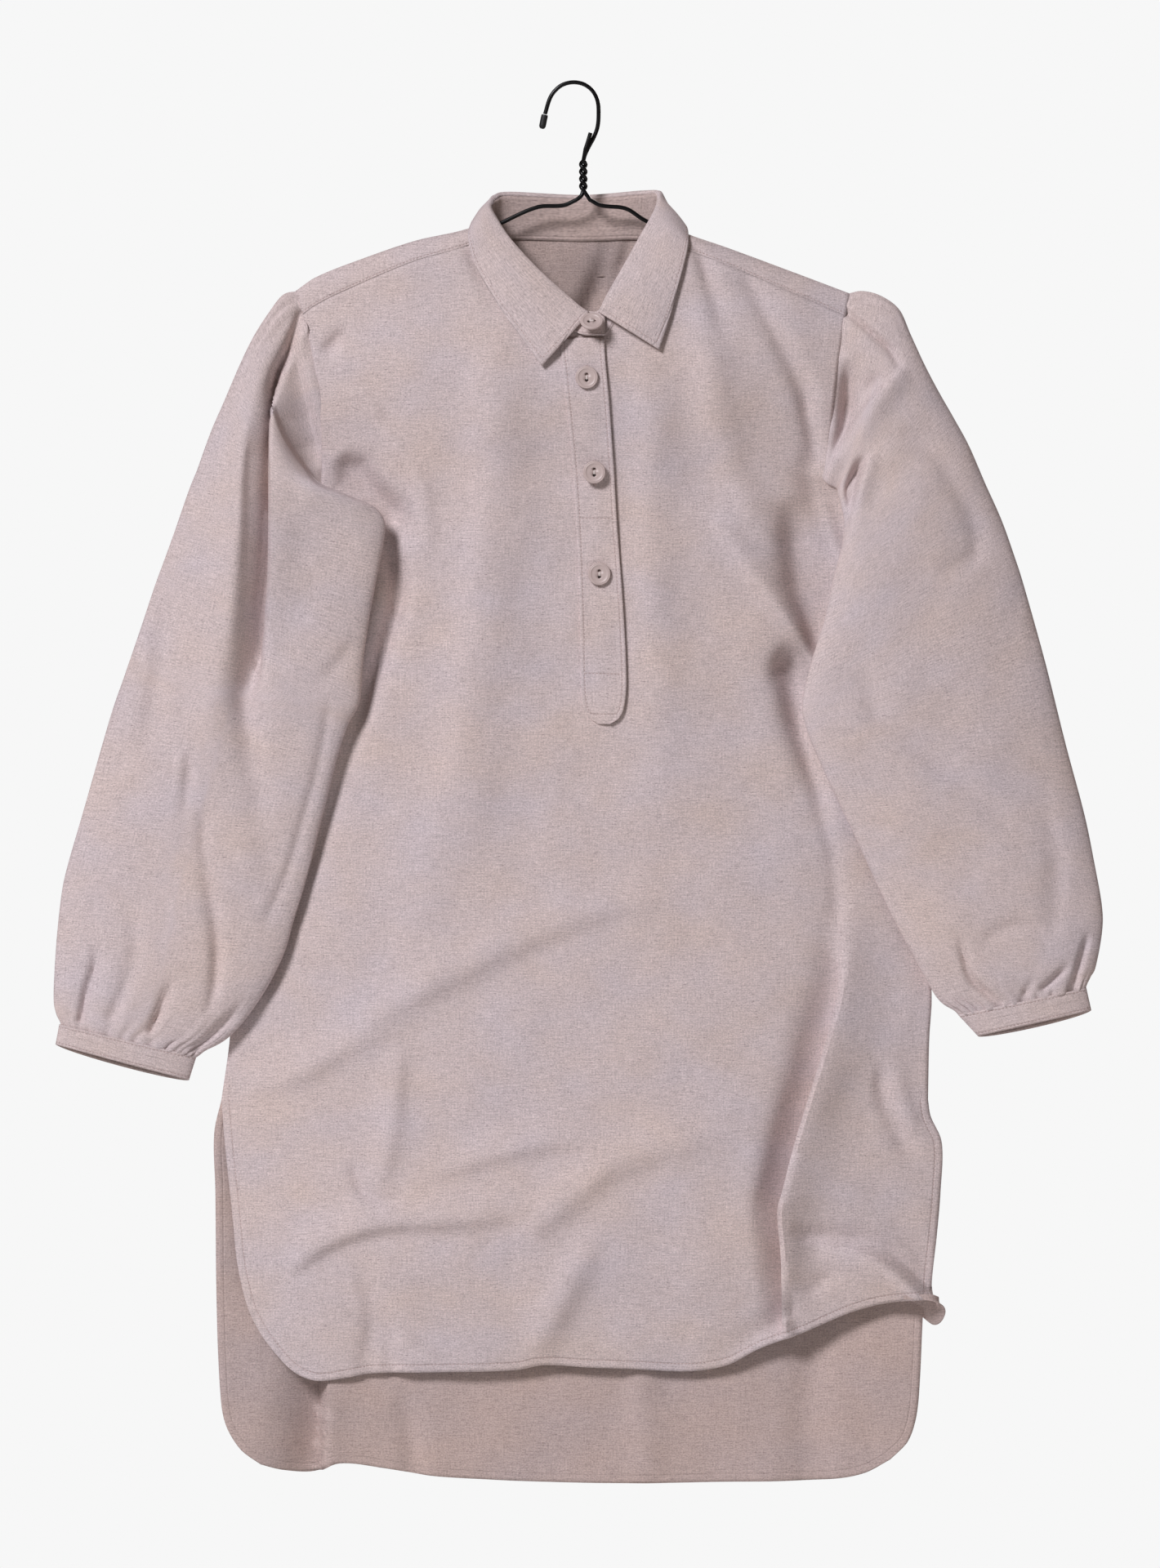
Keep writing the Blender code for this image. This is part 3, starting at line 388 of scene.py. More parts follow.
# Folds: a line of places, each x, z, depth, spread on its right and on its left as it runs.
# A plus depth goes inwards and a minus one stands out.
FRONT_FOLDS = [
    [(-58.5, -189.8, 0, 20, 26), (-62.4, -236.6, -3.5, 20, 28), (-64.4, -316.6, -5, 20, 30),
     (-71.5, -399.1, -5, 20, 30), (-85.8, -521.3, -4.5, 22, 32), (-102, -609.1, -3, 24, 32),
     (-119, -664.3, -2, 24, 30), (-135.2, -713.1, 0, 24, 24)],
    [(57.2, -206.1, 0, 14, 18), (61.8, -258.1, -2.5, 14, 18), (61.8, -355.6, -3, 16, 20),
     (65.7, -460.9, -3, 18, 20), (71.5, -550.6, -2, 20, 22), (76.7, -622.1, 0, 20, 20)],
    [(98.2, -167.1, 0, 10, 14), (106.6, -217.1, -3, 14, 16), (119.6, -290.6, -3.5, 16, 16),
     (138.5, -336.1, -3, 14, 14), (161.2, -388.1, 0, 12, 12)],
    [(91.7, -122.2, 4, 4, 6), (102, -140.4, 4, 5, 6), (109.2, -163.8, 2.5, 6, 8),
     (116.4, -189.2, 1.5, 7, 9), (122.2, -212.6, 0, 8, 10)],
    [(128.7, -139.8, 0, 5, 6), (140.4, -161.8, 2, 6, 8), (158.6, -197, 3, 7, 9),
     (183.3, -245.7, 5, 8, 9), (189.2, -270.4, 7, 7, 8), (197, -297.1, 9, 6, 7),
     (205.4, -323.1, 10, 6, 6), (213.8, -363.4, 8, 6, 6), (219.7, -388.1, 0, 6, 6)],
    [(184, -258.1, 0, 4, 4), (193.1, -284.1, -3, 6, 5), (204.1, -329.6, -5, 7, 5),
     (213.2, -375.1, -5, 7, 5), (217.1, -401.1, 0, 6, 5)],
    [(169, -329.6, 0, 10, 10), (177.5, -362.1, 12, 13, 12), (185.2, -395.9, 18, 15, 13),
     (193.7, -427.1, 16, 11, 10), (196.3, -446.6, 9, 8, 6), (197.6, -462.8, 0, 6, 6)],
    [(109.2, -336.1, 0, 8, 10), (118.3, -351.7, -2.5, 7, 12), (146.2, -395.9, -4, 6, 12),
     (174.8, -432.9, -6, 6, 10), (189.2, -456.9, -6, 5, 8), (195.7, -469.3, -4, 5, 6)],
    [(158, -453.1, 0, 10, 10), (169, -462.8, 13, 12, 10), (177.5, -485.6, 13, 12, 9),
     (183.3, -522, 10, 10, 8), (193.7, -558.4, 5, 8, 7), (198.2, -583.1, 2, 6, 6),
     (204.8, -610.4, 1.5, 5, 6), (208.7, -651.3, 1.5, 6, 8), (211.9, -680.6, 0, 8, 8)],
    [(213.2, -641.6, 0, 16, 3), (210.6, -687.1, 4, 18, 3), (208, -724.1, 8, 18, 3),
     (195.7, -769, 12, 17, 2.5), (184, -805.4, 15, 15, 2), (171.6, -846.3, 17, 13, 1.8),
     (163.2, -878.8, 18, 12, 1.5), (159.9, -895.1, 17, 11, 1.5), (162.5, -931.5, 14, 10, 1.5),
     (163.2, -973.1, 9, 9, 1.5), (163.8, -989.3, 4, 9, 1.5)],
    [(215.8, -622.1, 0, 3, 20), (213.2, -687.1, -3, 3, 22), (210.6, -724.1, -5, 3, 24),
     (198.2, -769, -7, 2.5, 26), (186.6, -805.4, -8, 2, 26), (174.2, -846.3, -8, 1.8, 26),
     (165.8, -878.8, -8, 1.5, 24), (161.8, -895.1, -8, 1.5, 20), (164.5, -931.5, -7, 1.5, 16),
     (165.8, -984.1, -5, 1.5, 14)],
    [(-176.8, -753.4, 0, 8, 16), (-143.7, -734.5, -3, 9, 18), (-111.2, -716.3, -4, 10, 20),
     (-66.3, -693.6, -4, 10, 22), (-33.8, -678, -3.5, 9, 22), (6.5, -662.4, -3, 9, 22),
     (50.7, -650.6, -2, 10, 20), (96.2, -646.8, 0, 12, 20)],
    [(-274.3, -797.6, 0, 8, 14), (-228.8, -792.4, -3, 9, 16), (-200.2, -776.8, -3.5, 9, 18),
     (-172.2, -760.5, -3, 9, 16), (-143.7, -750.8, -1.5, 8, 14), (-118.3, -742.3, 0, 8, 12)],
    [(-136.5, -758.6, 0, 12, 7), (-139.1, -778.1, -2, 12, 7), (-141.7, -811.9, -3, 12, 8),
     (-145.6, -840.5, -3, 12, 8), (-152.1, -869.1, -1.5, 10, 8), (-157.3, -883.4, 0, 8, 8)],
    [(-176.2, -852.8, 0, 3, 6), (-174.2, -865.8, 2, 3, 5), (-169, -879.5, 2.2, 3, 5),
     (-157.3, -888.6, 1.8, 3, 5), (-139.8, -889.9, 0.8, 4, 6), (-131.3, -887.2, 0, 4, 6)],
    [(-121.5, -869.1, 0, 6, 12), (-82.5, -857.4, -2.8, 7, 14), (-50.1, -847.6, -3, 7, 14),
     (-17.6, -841.1, -2.5, 7, 14), (6.5, -841.1, -1.5, 8, 12), (31.2, -843.1, 0, 8, 12)],
    [(-227.5, -948.4, 0, 5, 8), (-219.1, -939.2, -2.5, 5, 12), (-206.7, -928.2, -4, 5.5, 16),
     (-184, -915.9, -5, 6, 18), (-151.5, -906.1, -5, 6.5, 18), (-111.2, -903.5, -4.5, 7, 18),
     (-66.3, -899.6, -3.5, 8, 16), (-46.1, -895.7, -1.5, 8, 12), (-30.6, -891.8, 0, 8, 12)],
    [(-40.3, -930.8, 0, 8, 12), (-30.6, -911.3, -2.5, 10, 14), (-14.3, -893.8, -4, 12, 16),
     (8.5, -874.2, -4.5, 13, 18), (31.2, -858.6, -4, 13, 18), (63.7, -845.6, -3, 12, 18),
     (96.2, -839.1, -2, 12, 16), (128.7, -836.6, 0, 12, 14)],
    [(-40.3, -1019.9, 0, 10, 12), (-27.3, -999.1, -3, 12, 14), (-11.1, -969.8, -4, 13, 16),
     (6.5, -937.3, -3, 12, 14), (21.4, -911.3, 0, 10, 12)],
    [(-170.3, -934.1, 0, 8, 8), (-162.5, -956.8, 2, 7, 9), (-159.9, -986.1, 3, 7, 9),
     (-163.8, -1025, 2.5, 8, 10)],
    [(-150.8, -966.6, 0, 5, 7), (-146.9, -992.6, 2.5, 5, 8), (-146.9, -1031.5, 2.5, 5, 8)],
    [(-206.1, -219.1, 0, 5, 6), (-195, -210.6, 6, 7, 6), (-184.6, -200.8, 3, 6, 6),
     (-178.1, -193.1, 0, 5, 5)],
    [(-188.5, -297.1, 0, 10, 10), (-176.8, -310.1, 15, 13, 13), (-160.6, -326.3, 13, 10, 11),
     (-145.6, -341.2, 14, 8, 11), (-136.5, -355.6, 5, 8, 11)],
    [(-150.8, -355.6, 7, 6, 8), (-143, -381.6, 14, 8, 8), (-140.4, -407.6, 13, 8, 8),
     (-150.8, -446.6, 10, 7, 7), (-163.8, -485.6, 8, 6, 7), (-174.8, -521.3, 3, 6, 7),
     (-193.1, -576.6, 3, 6, 7), (-215.8, -641.6, 2, 6, 8), (-241.8, -713.1, 2, 6, 10)],
    [(-157.3, -271.1, 0, 6, 8), (-140.4, -289.9, -2, 7, 9), (-121.5, -323.1, -2.5, 8, 9),
     (-117, -355.6, -2, 8, 8), (-121.5, -388.1, 0, 8, 8)],
    [(-91, -362.1, 0, 3, 3), (-88.4, -371.8, 1.5, 3, 3), (-91, -381.6, 0, 3, 3)],
    [(-180.1, -243.8, 0, 3, 4), (-167.1, -248.3, -1.5, 3, 4), (-157.3, -260, -1.5, 3, 4),
     (-152.1, -271.1, 0, 3, 4)],
    [(-88.4, -121.5, 3, 4, 5), (-76, -147.6, 3, 5, 6), (-66.3, -167.1, 1, 6, 8),
     (-59.8, -186.6, 0, 6, 8)],
    [(245.7, -778.1, 0, 5, 8), (243.1, -794.3, 2.5, 5, 8), (249, -817.1, 2.5, 6, 10),
     (261.9, -843.1, 2.5, 7, 10), (274.9, -865.8, 0, 7, 8)],
    [(257.4, -771.6, 0, 8, 8), (258.7, -797.6, -2, 8, 8), (271.7, -823.6, -2, 8, 6),
     (276.9, -836.6, 0, 8, 6)],
    [(270.4, -817.1, 0, 4, 5), (278.2, -824.9, 2.5, 4, 5), (286, -822.2, 2.5, 4, 5)],
    [(171, -908.1, 0, 4, 6), (184, -915.9, 3, 4, 8), (207.3, -917.1, 3, 5, 10),
     (230.8, -921.1, 3, 5, 10), (249.6, -931.5, 3.5, 5, 9), (272.4, -951, 3, 5, 8),
     (286.7, -966.6, 2, 5, 8)],
    [(193.7, -927.6, 0, 10, 5), (223, -930.8, -4, 14, 6), (245.7, -940.6, -6, 14, 7),
     (268.4, -960.1, -7, 12, 7), (284.7, -973.1, -6, 10, 6)],
    [(169, -947.1, 0, 3, 6), (171.6, -973.1, 3, 3, 8), (175.5, -987.4, 3, 4, 8)],
    [(184, -966.6, 0, 5, 7), (197, -952.2, 2, 6, 8), (214.5, -939.9, 0, 6, 8)],
    [(109.2, -1017.2, 0, 6, 8), (138.5, -999.1, 2.5, 6, 12), (164.5, -980.9, 2.5, 6, 10),
     (177.5, -969.8, 0, 6, 8)],
    [(192, -270, 0, 10, 10), (194, -300, 6, 12, 10), (196, -335, 7, 16, 12), (201, -400, 12, 24, 14),
     (194, -440, 8, 20, 12), (184, -478, 6, 18, 10), (176, -530, 0, 14, 8)],
    [(226, -914, 0, 16, 3), (246, -928, -2.5, 20, 2.2), (268, -948, -4.5, 22, 2),
     (290, -968, -5.5, 24, 2)],
    [(246, -905, 0, 8, 12), (268, -925, 2.5, 5, 12), (284, -945, 3, 4, 10)],
]
BACK_FOLDS = [
    [(-202.2, -973.1, 0, 26, 1.5), (-202.2, -1038, -6, 30, 1.5), (-203.5, -1097.2, -7, 30, 1.5),
     (-204.1, -1109.5, -7, 30, 1.5)],
    [(-198.2, -973.1, 0, 1.5, 14), (-198.2, -1038, 3, 1.5, 16), (-199.6, -1103, 3, 1.5, 16)],
    [(-137.8, -1031.5, 0, 8, 10), (-131.3, -1064, -2.5, 9, 10), (-128.1, -1103, -2.5, 9, 10)],
    [(115.7, -271.1, 0, 16, 20), (145, -427.1, -4.5, 18, 24), (154.7, -583.1, -5, 20, 24),
     (148.2, -713.1, 0, 20, 24)],
    [(-92.3, -258.1, 0, 16, 20), (-100.1, -388.1, -4, 18, 22), (-105.3, -518.1, -4, 20, 24),
     (-92.3, -648.1, 0, 20, 24)],
    [(-1.3, -297.1, 0, 14, 16), (5.2, -453.1, 4, 16, 18), (1.3, -648.1, 4, 18, 20),
     (11.7, -778.1, 0, 18, 18)],
    [(174.2, -745.6, 0, 14, 16), (184, -875.6, -4, 16, 18), (187.2, -1038, -4, 16, 18),
     (188.5, -1112.8, -3, 16, 18)],
    [(-150.8, -680.6, 0, 14, 14), (-118.3, -778.1, -3.5, 14, 16), (-66.3, -856.1, -4, 14, 16),
     (-40.3, -947.1, 0, 14, 16)],
    [(63.7, -778.1, 0, 12, 16), (44.2, -875.6, 3.5, 12, 16), (50.7, -973.1, 3.5, 12, 16),
     (57.2, -1103, 2, 12, 14)],
    [(26, -120, 0, 6, 7), (24, -142, -3, 8, 9), (18, -165, -6, 10, 10), (8, -190, -8, 12, 12),
     (2, -225, -5, 14, 14), (0, -260, 0, 14, 14)],
    [(44, -122, 0, 4, 4), (40, -142, -4, 5, 5), (34, -165, -3, 6, 6), (30, -190, 0, 8, 8)],
    [(-52, -120, 0, 5, 5), (-40, -140, -3.5, 6, 6), (-22, -168, -5, 8, 7), (-8, -196, -3, 8, 8),
     (-4, -215, 0, 8, 8)],
    [(-198, -1000, -3, 14, 2.2), (-198.5, -1030, -6, 22, 2), (-200, -1065, -8, 28, 2),
     (-201.5, -1104, -8, 30, 2)],
]
SLEEVE_FOLDS_LEFT = [
    [(-217.8, -183.3, 4, 3, 4), (-227.5, -212.6, 9, 4, 4), (-238.6, -238.6, 14, 4, 4),
     (-242, -258.1, 16, 5, 2), (-243.2, -297.1, 22, 6, 1.5), (-243.2, -336.1, 24, 7, 1.5),
     (-243.6, -381.6, 24, 8, 1.5), (-246.5, -420.6, 20, 9, 2), (-251, -453.1, 14, 10, 5),
     (-259.4, -485.6, 9, 9, 10), (-257.4, -518.1, 5, 10, 11), (-251.6, -557.1, 3, 12, 12),
     (-241.8, -624, 1.5, 12, 12), (-238.6, -648.1, 0, 12, 12)],
    [(-235.3, -238.6, 0, 2, 10), (-239.8, -258.1, -3, 2, 14), (-241.2, -297.1, -5, 2, 18),
     (-241.2, -349.1, -6, 2, 20), (-241.8, -401.1, -4.5, 2, 20), (-247, -453.1, 0, 4, 16)],
    [(-232.1, -193.1, 0, 10, 8), (-249.6, -232.1, -4, 16, 8), (-262.8, -297.1, -7, 22, 6),
     (-266.3, -362.1, -9, 26, 7), (-272.5, -427.1, -8, 22, 9), (-285, -492.1, -4, 16, 14),
     (-288.6, -557.1, 0, 12, 12)],
    [(-222, -206, 0, 6, 3), (-218, -232, 5, 12, 5), (-211, -264, 7, 16, 6), (-206, -288, 6, 14, 6),
     (-203, -306, 0, 8, 4)],
    [(-316.6, -355.6, 0, 12, 12), (-319.8, -390, 2, 12, 12), (-324.4, -429, 3.5, 10, 12),
     (-330.9, -477.1, 4, 9, 12), (-334.8, -507, 3, 9, 12), (-340.6, -537.6, 0, 10, 12)],
    [(-312, -518.1, 0, 4, 4), (-312, -544.1, -2, 4, 4), (-314.6, -573.3, 0, 4, 4)],
    [(-303.6, -521.3, 0, 4, 4), (-304.9, -547.3, 2, 4, 4), (-307.4, -576.6, 1.5, 4, 4),
     (-309.4, -589.6, 0, 4, 4)],
    [(-293.8, -573.3, 0, 4, 5), (-293.8, -596.1, 2.5, 4, 5), (-290.6, -624, 2, 6, 6),
     (-284.7, -661.1, 3.5, 6, 6), (-282.1, -690.3, 5, 5, 5), (-284.1, -716.3, 4, 5, 5),
     (-288.6, -735.8, 1.5, 4, 4)],
    [(-379.6, -680.6, 0, 4, 5), (-380.2, -703.3, 5, 4, 5), (-386.1, -720.9, 6, 4, 5),
     (-391.3, -744.2, 5, 3, 4)],
    [(-350.4, -648.1, 0, 8, 8), (-347.8, -690.3, 2.5, 8, 8), (-357.5, -722.8, 2.5, 6, 6),
     (-367.2, -741, 2.5, 4, 4)],
    [(-316.6, -709.8, 0, 4, 4), (-324.4, -727.4, 4, 4, 4), (-330.9, -742.3, 5, 3, 4),
     (-335.4, -753.4, 4, 3, 3)],
    [(-261.3, -729.3, 0, 4, 5), (-272.4, -742.3, 4, 4, 5), (-286, -755.3, 5, 4, 4),
     (-300.3, -766.4, 4, 3, 3)],
    [(-172.9, -438.8, 0, 5, 6), (-180.1, -453.1, 1.8, 5, 7), (-191.1, -466.1, 2, 5, 7),
     (-209.3, -484.2, 0, 5, 7)],
    [(-191.1, -482.3, 0, 4, 5), (-196.3, -511.6, 1.8, 4, 5), (-204.1, -550.6, 2, 4, 5),
     (-215.8, -590.9, 2, 4, 5), (-225.6, -623.4, 2.2, 3.5, 5), (-238.6, -654.6, 1.5, 4, 5),
     (-249.6, -680.6, 0, 4, 5)],
    [(-241.2, -243.8, 0, 10, 1.5), (-238.6, -261.3, -4, 14, 1.5), (-233.3, -277.6, -6, 16, 1.5),
     (-224.9, -292.5, -7, 18, 1.5), (-216.5, -304.2, -7.5, 20, 1.5), (-204.1, -320.4, -7.5, 20, 1.5),
     (-189.8, -326.3, -5, 20, 1.5), (-176.8, -330.9, -3, 18, 1.5)],
    [(-237.2, -254.8, 0, 1.5, 10), (-232.1, -271.1, 3, 1.5, 12), (-221, -291.9, 5, 1.5, 14),
     (-212.6, -303.6, 6, 1.5, 14), (-201.5, -317.9, 6, 1.5, 12), (-189.8, -323.1, 4, 1.5, 10)],
    [(-207.3, -183.3, 0, 2, 3), (-211.2, -193.1, -3, 2, 3), (-214.5, -206.1, 0, 2, 3)],
]
SLEEVE_FOLDS_RIGHT = [
    [(226, -214, 0, 8, 8), (225, -236, 4, 10, 9), (221, -262, 6, 10, 8), (215, -285, 4, 8, 6),
     (210, -300, 0, 5, 4)],
    [(229, -297, 0, 4, 4), (225, -310, 5, 5, 4), (220, -324, 7, 5, 4), (217, -340, 0, 4, 4)],
    [(213.8, -180.1, 2, 3, 3), (223, -186.6, 3, 2.5, 3), (232.7, -195, 4, 2.5, 3),
     (242.5, -203.5, 4, 3, 3), (252.2, -213.2, 4, 3, 4), (257.4, -222.3, 2, 4, 4),
     (260.7, -228.8, 0, 4, 4)],
    [(217.8, -219.1, 0, 5, 5), (217.8, -238.6, 7, 6, 6), (217.1, -258.1, 9, 6, 6),
     (214.5, -274.3, 6, 5, 5), (209.3, -287.3, 3, 4, 4), (206.7, -297.1, 0, 4, 4)],
    [(247, -228.8, 0, 6, 6), (237.2, -240.5, 4, 7, 7), (229.5, -251.6, 2, 7, 7),
     (223, -261.3, 0, 6, 6)],
    [(263.9, -225.6, 0, 1.5, 10), (258.7, -230.8, -3, 2, 12), (248.3, -240.5, -5, 1.5, 14),
     (232.7, -256.8, -6, 1.5, 14), (219.7, -276.2, -6, 1.5, 12), (210.6, -293.8, -5, 1.5, 10),
     (204.1, -308.8, -3, 1.5, 8)],
    [(232.7, -294.4, 0, 5, 4), (226.2, -306.8, 5, 5, 4), (221, -321.1, 8, 5, 4),
     (219.7, -334.8, 4, 4, 4), (221, -345.8, 0, 4, 4)],
    [(242.5, -294.4, 0, 2, 8), (232.7, -300.9, -3, 2, 10), (227.5, -316.6, -4, 2, 10),
     (223.6, -336.1, -4, 2, 10), (219.7, -352.3, -3, 2, 10), (214.5, -375.1, 0, 3, 10)],
    [(232.7, -287.3, 0, 6, 8), (263.2, -282.1, 2, 8, 8), (289.2, -299, 2, 8, 10),
     (307.4, -329.6, 2, 8, 10), (319.2, -355.6, 2.5, 8, 10), (317.2, -377, 2.5, 8, 8),
     (297.7, -384.8, 1, 8, 8), (284.7, -388.1, 0, 8, 8)],
    [(224.2, -451.1, 0, 8, 10), (232.7, -482.3, 1.5, 8, 10), (241.2, -507, 2, 6, 8),
     (267.2, -524.6, 2.5, 6, 8), (293.2, -546, 2.5, 6, 9), (319.2, -563.6, 2, 7, 9),
     (339.9, -583.1, 1, 8, 9), (352.9, -602.6, 0, 8, 9)],
    [(184, -522.6, 0, 2, 3), (213.2, -519.4, 0.8, 2, 3), (241.2, -516.1, 0, 2, 3)],
    [(372.4, -563.6, 0, 10, 8), (377.7, -589.6, 1.8, 10, 8), (384.2, -624, 2, 10, 8),
     (380.2, -667.6, 1.5, 8, 8), (375.7, -687.1, 0, 8, 8)],
    [(305.5, -677.3, 0, 3, 4), (309.4, -693.6, 3.5, 3, 4), (315.2, -711.1, 4.5, 3, 4),
     (326.9, -721.5, 4, 3, 3), (338, -730, 3, 3, 3)],
    [(409.5, -674.1, 0, 3, 3), (406.2, -685.1, 4, 3, 3), (401.7, -700.1, 5, 3, 3),
     (396.5, -718.2, 4, 3, 3)],
    [(395.2, -698.8, 0, 3, 3), (385.4, -707.9, 3.5, 3, 3), (372.4, -719.6, 3, 3, 3)],
    [(320.4, -693.6, 0, 5, 5), (330.2, -679.2, 1.5, 6, 6), (349.7, -669.5, 1.8, 6, 6),
     (367.9, -674.1, 1.5, 6, 6), (377.7, -690.3, 0, 5, 5)],
    [(364, -709.8, 0, 3, 3), (359.4, -720.9, 2.5, 3, 3), (356.2, -727.4, 2, 2.5, 2.5)],
]
# Where a fold laps over the cloth on its left: z, the edge's x, and its share of the whole lap
FRONT_LAP = [
    (-1200, 166, 0), (-1000, 166, 0), (-984, 165.8, 0.5), (-958, 165.2, 0.9), (-931.5, 164.5, 1),
    (-895.1, 161.8, 1), (-878.8, 165.8, 1), (-846.3, 174.2, 0.9), (-805.4, 186.6, 0.75),
    (-769, 198.2, 0.5), (-724.1, 210.6, 0.2), (-687, 213.2, 0), (0, 213.2, 0),
]
SLEEVE_LAP = [
    (-1200, -247, 0), (-500, -249, 0), (-453.1, -247, 0.5), (-401.1, -242.5, 0.9), (-349.1, -241.2, 1),
    (-297.1, -241.2, 1), (-258.1, -239.8, 0.8), (-238.6, -235.3, 0.3), (-225, -232, 0), (0, -230, 0),
]

SLEEVE_FOLDS = {-1: SLEEVE_FOLDS_LEFT, 1: SLEEVE_FOLDS_RIGHT}
# Folds on the hidden backs of the sleeves, in the same columns
SLEEVE_BACK_FOLDS = {
    -1: [
        [(-300, -260, 0, 8, 10), (-285, -340, 3, 10, 12), (-280, -430, 3.5, 10, 14),
         (-300, -540, 0, 12, 14)],
        [(-360, -520, 0, 10, 10), (-350, -600, -3, 10, 12), (-345, -690, -3, 9, 10), (-350, -735, 0, 8, 8)],
        [(-240, -520, 0, 8, 10), (-262, -610, 2.5, 8, 10), (-290, -690, 3, 8, 10), (-310, -745, 2, 6, 6)],
        [(-395, -640, 0, 6, 8), (-385, -700, 3, 6, 7), (-375, -740, 3, 4, 5)],
    ],
    1: [
        [(290, -250, 0, 8, 10), (282, -330, 3, 10, 12), (276, -430, 3.5, 10, 14), (300, -560, 0, 12, 14)],
        [(352, -470, 0, 10, 10), (350, -560, -3, 10, 12), (360, -650, -3, 9, 10), (362, -705, 0, 8, 8)],
        [(250, -560, 0, 8, 10), (280, -630, 2.5, 8, 10), (310, -680, 3, 7, 9), (330, -720, 2, 5, 6)],
        [(400, -600, 0, 6, 8), (398, -660, 3, 6, 7), (388, -705, 3, 4, 5)],
    ],
}

# The front's right corner, which rolls back: x, y off the cloth, z, along its rim and its crest
CORNER_RIM = [
    (262, 0.4, -966), (276, 0.4, -966.4), (286.6, 1, -968), (293.8, 6, -972), (295.5, 12, -978),
    (292, 18, -985.5), (286.6, 22, -987.5), (277.5, 25, -981), (263, 26, -969),
]
CORNER_CREST = [
    (262, 0.4, -963), (276, 0.4, -962), (284, 1, -962), (288.6, 4, -963.6), (290, 8, -965),
    (288.5, 12, -965), (284, 15, -964), (276, 17, -962), (263, 18, -959),
]
CORNER_FOOT = (270, -966)
CORNER_OFFSET = 0.4
CORNER_BOW = 1.5

# Hanger wire, points: x, z
HOOK_ROUTE = [
    (-22.6, -23.8), (-18.9, -11.7), (-14.8, -5.3), (-8.5, -0.4), (0, 1.5), (8.5, -0.2),
    (15.4, -5.5), (19.2, -13.4), (20, -23), (19.2, -33.8), (16.3, -42), (12, -50), (9.2, -56),
]
TIP_ROUTE = [(-25.2, -35.4), (-24.9, -34.2), (-24.3, -31.5), (-23.6, -28.0), (-22.75, -24.4)]
FREE_END_ROUTE = [(13.6, -39), (11.5, -46), (9.2, -53)]
FREE_END_Y = -3.0
FORK_BEND = (6.4, 0.8, -88.5)
# The tip's radius as a share of its widest, at shares of its length
TIP_STATIONS = [0, 0.06, 0.2, 0.9, 1]
TIP_SWELL = [0.45, 0.8, 1, 1, 0.9]
LEFT_ARM_ROUTE = [(2.5, -92), (-8, -96.5), (-29, -98), (-58.5, -111), (-81, -122)]
LEFT_END_ROUTE = [(-190, -160), (-201, -166), (-205, -173), (-203, -182), (-194, -189), (-182, -191)]
RIGHT_END_ROUTE = [(184, -193), (196, -190), (204, -184), (205, -175), (200, -167), (188, -161.5)]
RIGHT_ARM_ROUTE = [(85, -121), (57, -108.5), (41.6, -99), (22, -96.5), (13, -92)]


# Curves and tables

def lengths(points):
    """Stations from 0 to 1 along points, by the distance between them."""
    steps = np.linalg.norm(np.diff(np.asarray(points, dtype=float), axis=0), axis=1)
    total = np.concatenate([[0.0], np.cumsum(steps)])
    return total / total[-1]


def through(stations, rows, t):
    """The smooth curve through rows at stations that rise, read at every t."""
    stations = np.asarray(stations, dtype=float)
    rows = np.asarray(rows, dtype=float)
    t = np.clip(np.asarray(t, dtype=float), stations[0], stations[-1])
    k = np.clip(np.searchsorted(stations, t) - 1, 0, len(stations) - 2)
    low = np.maximum(np.arange(len(rows)) - 1, 0)
    high = np.minimum(np.arange(len(rows)) + 1, len(rows) - 1)
    slope = (rows[high] - rows[low]) / (stations[high] - stations[low])[:, None]
    span = (stations[k + 1] - stations[k])[..., None]
    f = (t - stations[k])[..., None] / span
    return (
        (2 * f**3 - 3 * f**2 + 1) * rows[k]
        + (f**3 - 2 * f**2 + f) * span * slope[k]
        + (3 * f**2 - 2 * f**3) * rows[k + 1]
        + (f**3 - f**2) * span * slope[k + 1]
    )


def by_column(rows, value):
    """A table read at every value of its first column, whichever way that column runs."""
    ordered = np.array(sorted(rows), dtype=float)
    return through(ordered[:, 0], ordered[:, 1:], value)


def dense(points, count):
    """The smooth curve through points, as count short steps."""
    return through(lengths(points), points, np.linspace(0, 1, count + 1))


def smoothstep(t):
    """0 up to t = 0 and 1 from t = 1, with a smooth rise in between."""
    t = np.clip(t, 0.0, 1.0)
    return t * t * (3 - 2 * t)


# The body's form

def ridge(x):
    """The fold line's height over the shoulders."""
    return by_column(RIDGE, x)[..., 0]


def armhole_share(side, z):
    """0 at the shoulder, 1 at the underarm, and how far the seam bows in between."""
    top, foot = ARMHOLE_TOP[side], ARMHOLE_FOOT[side]
    s = np.clip((top[1] - z) / (top[1] - foot[1]), 0.0, 1.0)
    return s, 4 * s * (1 - s)


def armhole_x(side, z):
    """The armhole seam's x at a height."""
    s, bow = armhole_share(side, z)
    top, foot = ARMHOLE_TOP[side], ARMHOLE_FOOT[side]
    return top[0] + (foot[0] - top[0]) * s - side * bow * ARMHOLE_BOW[side]


def body_edge(side, z, face):
    """The body's edge at a height: armhole, side seam or slit."""
    slit = SLIT_FRONT if face < 0 else SLIT_BACK
    rows = [(row[1], row[0]) for row in SIDE_SEAM[side] + slit[side][1:]]
    return np.where(z >= ARMHOLE_FOOT[side][1], armhole_x(side, z), by_column(rows, z)[..., 0])


def lens_edge(side, z, face):
    """The body's edge with its corner at the underarm evened out, for the cloth's roundness."""
    steps = np.linspace(-LENS_REACH, LENS_REACH, 9)
    return sum(body_edge(side, z + step, face) for step in steps) / len(steps)


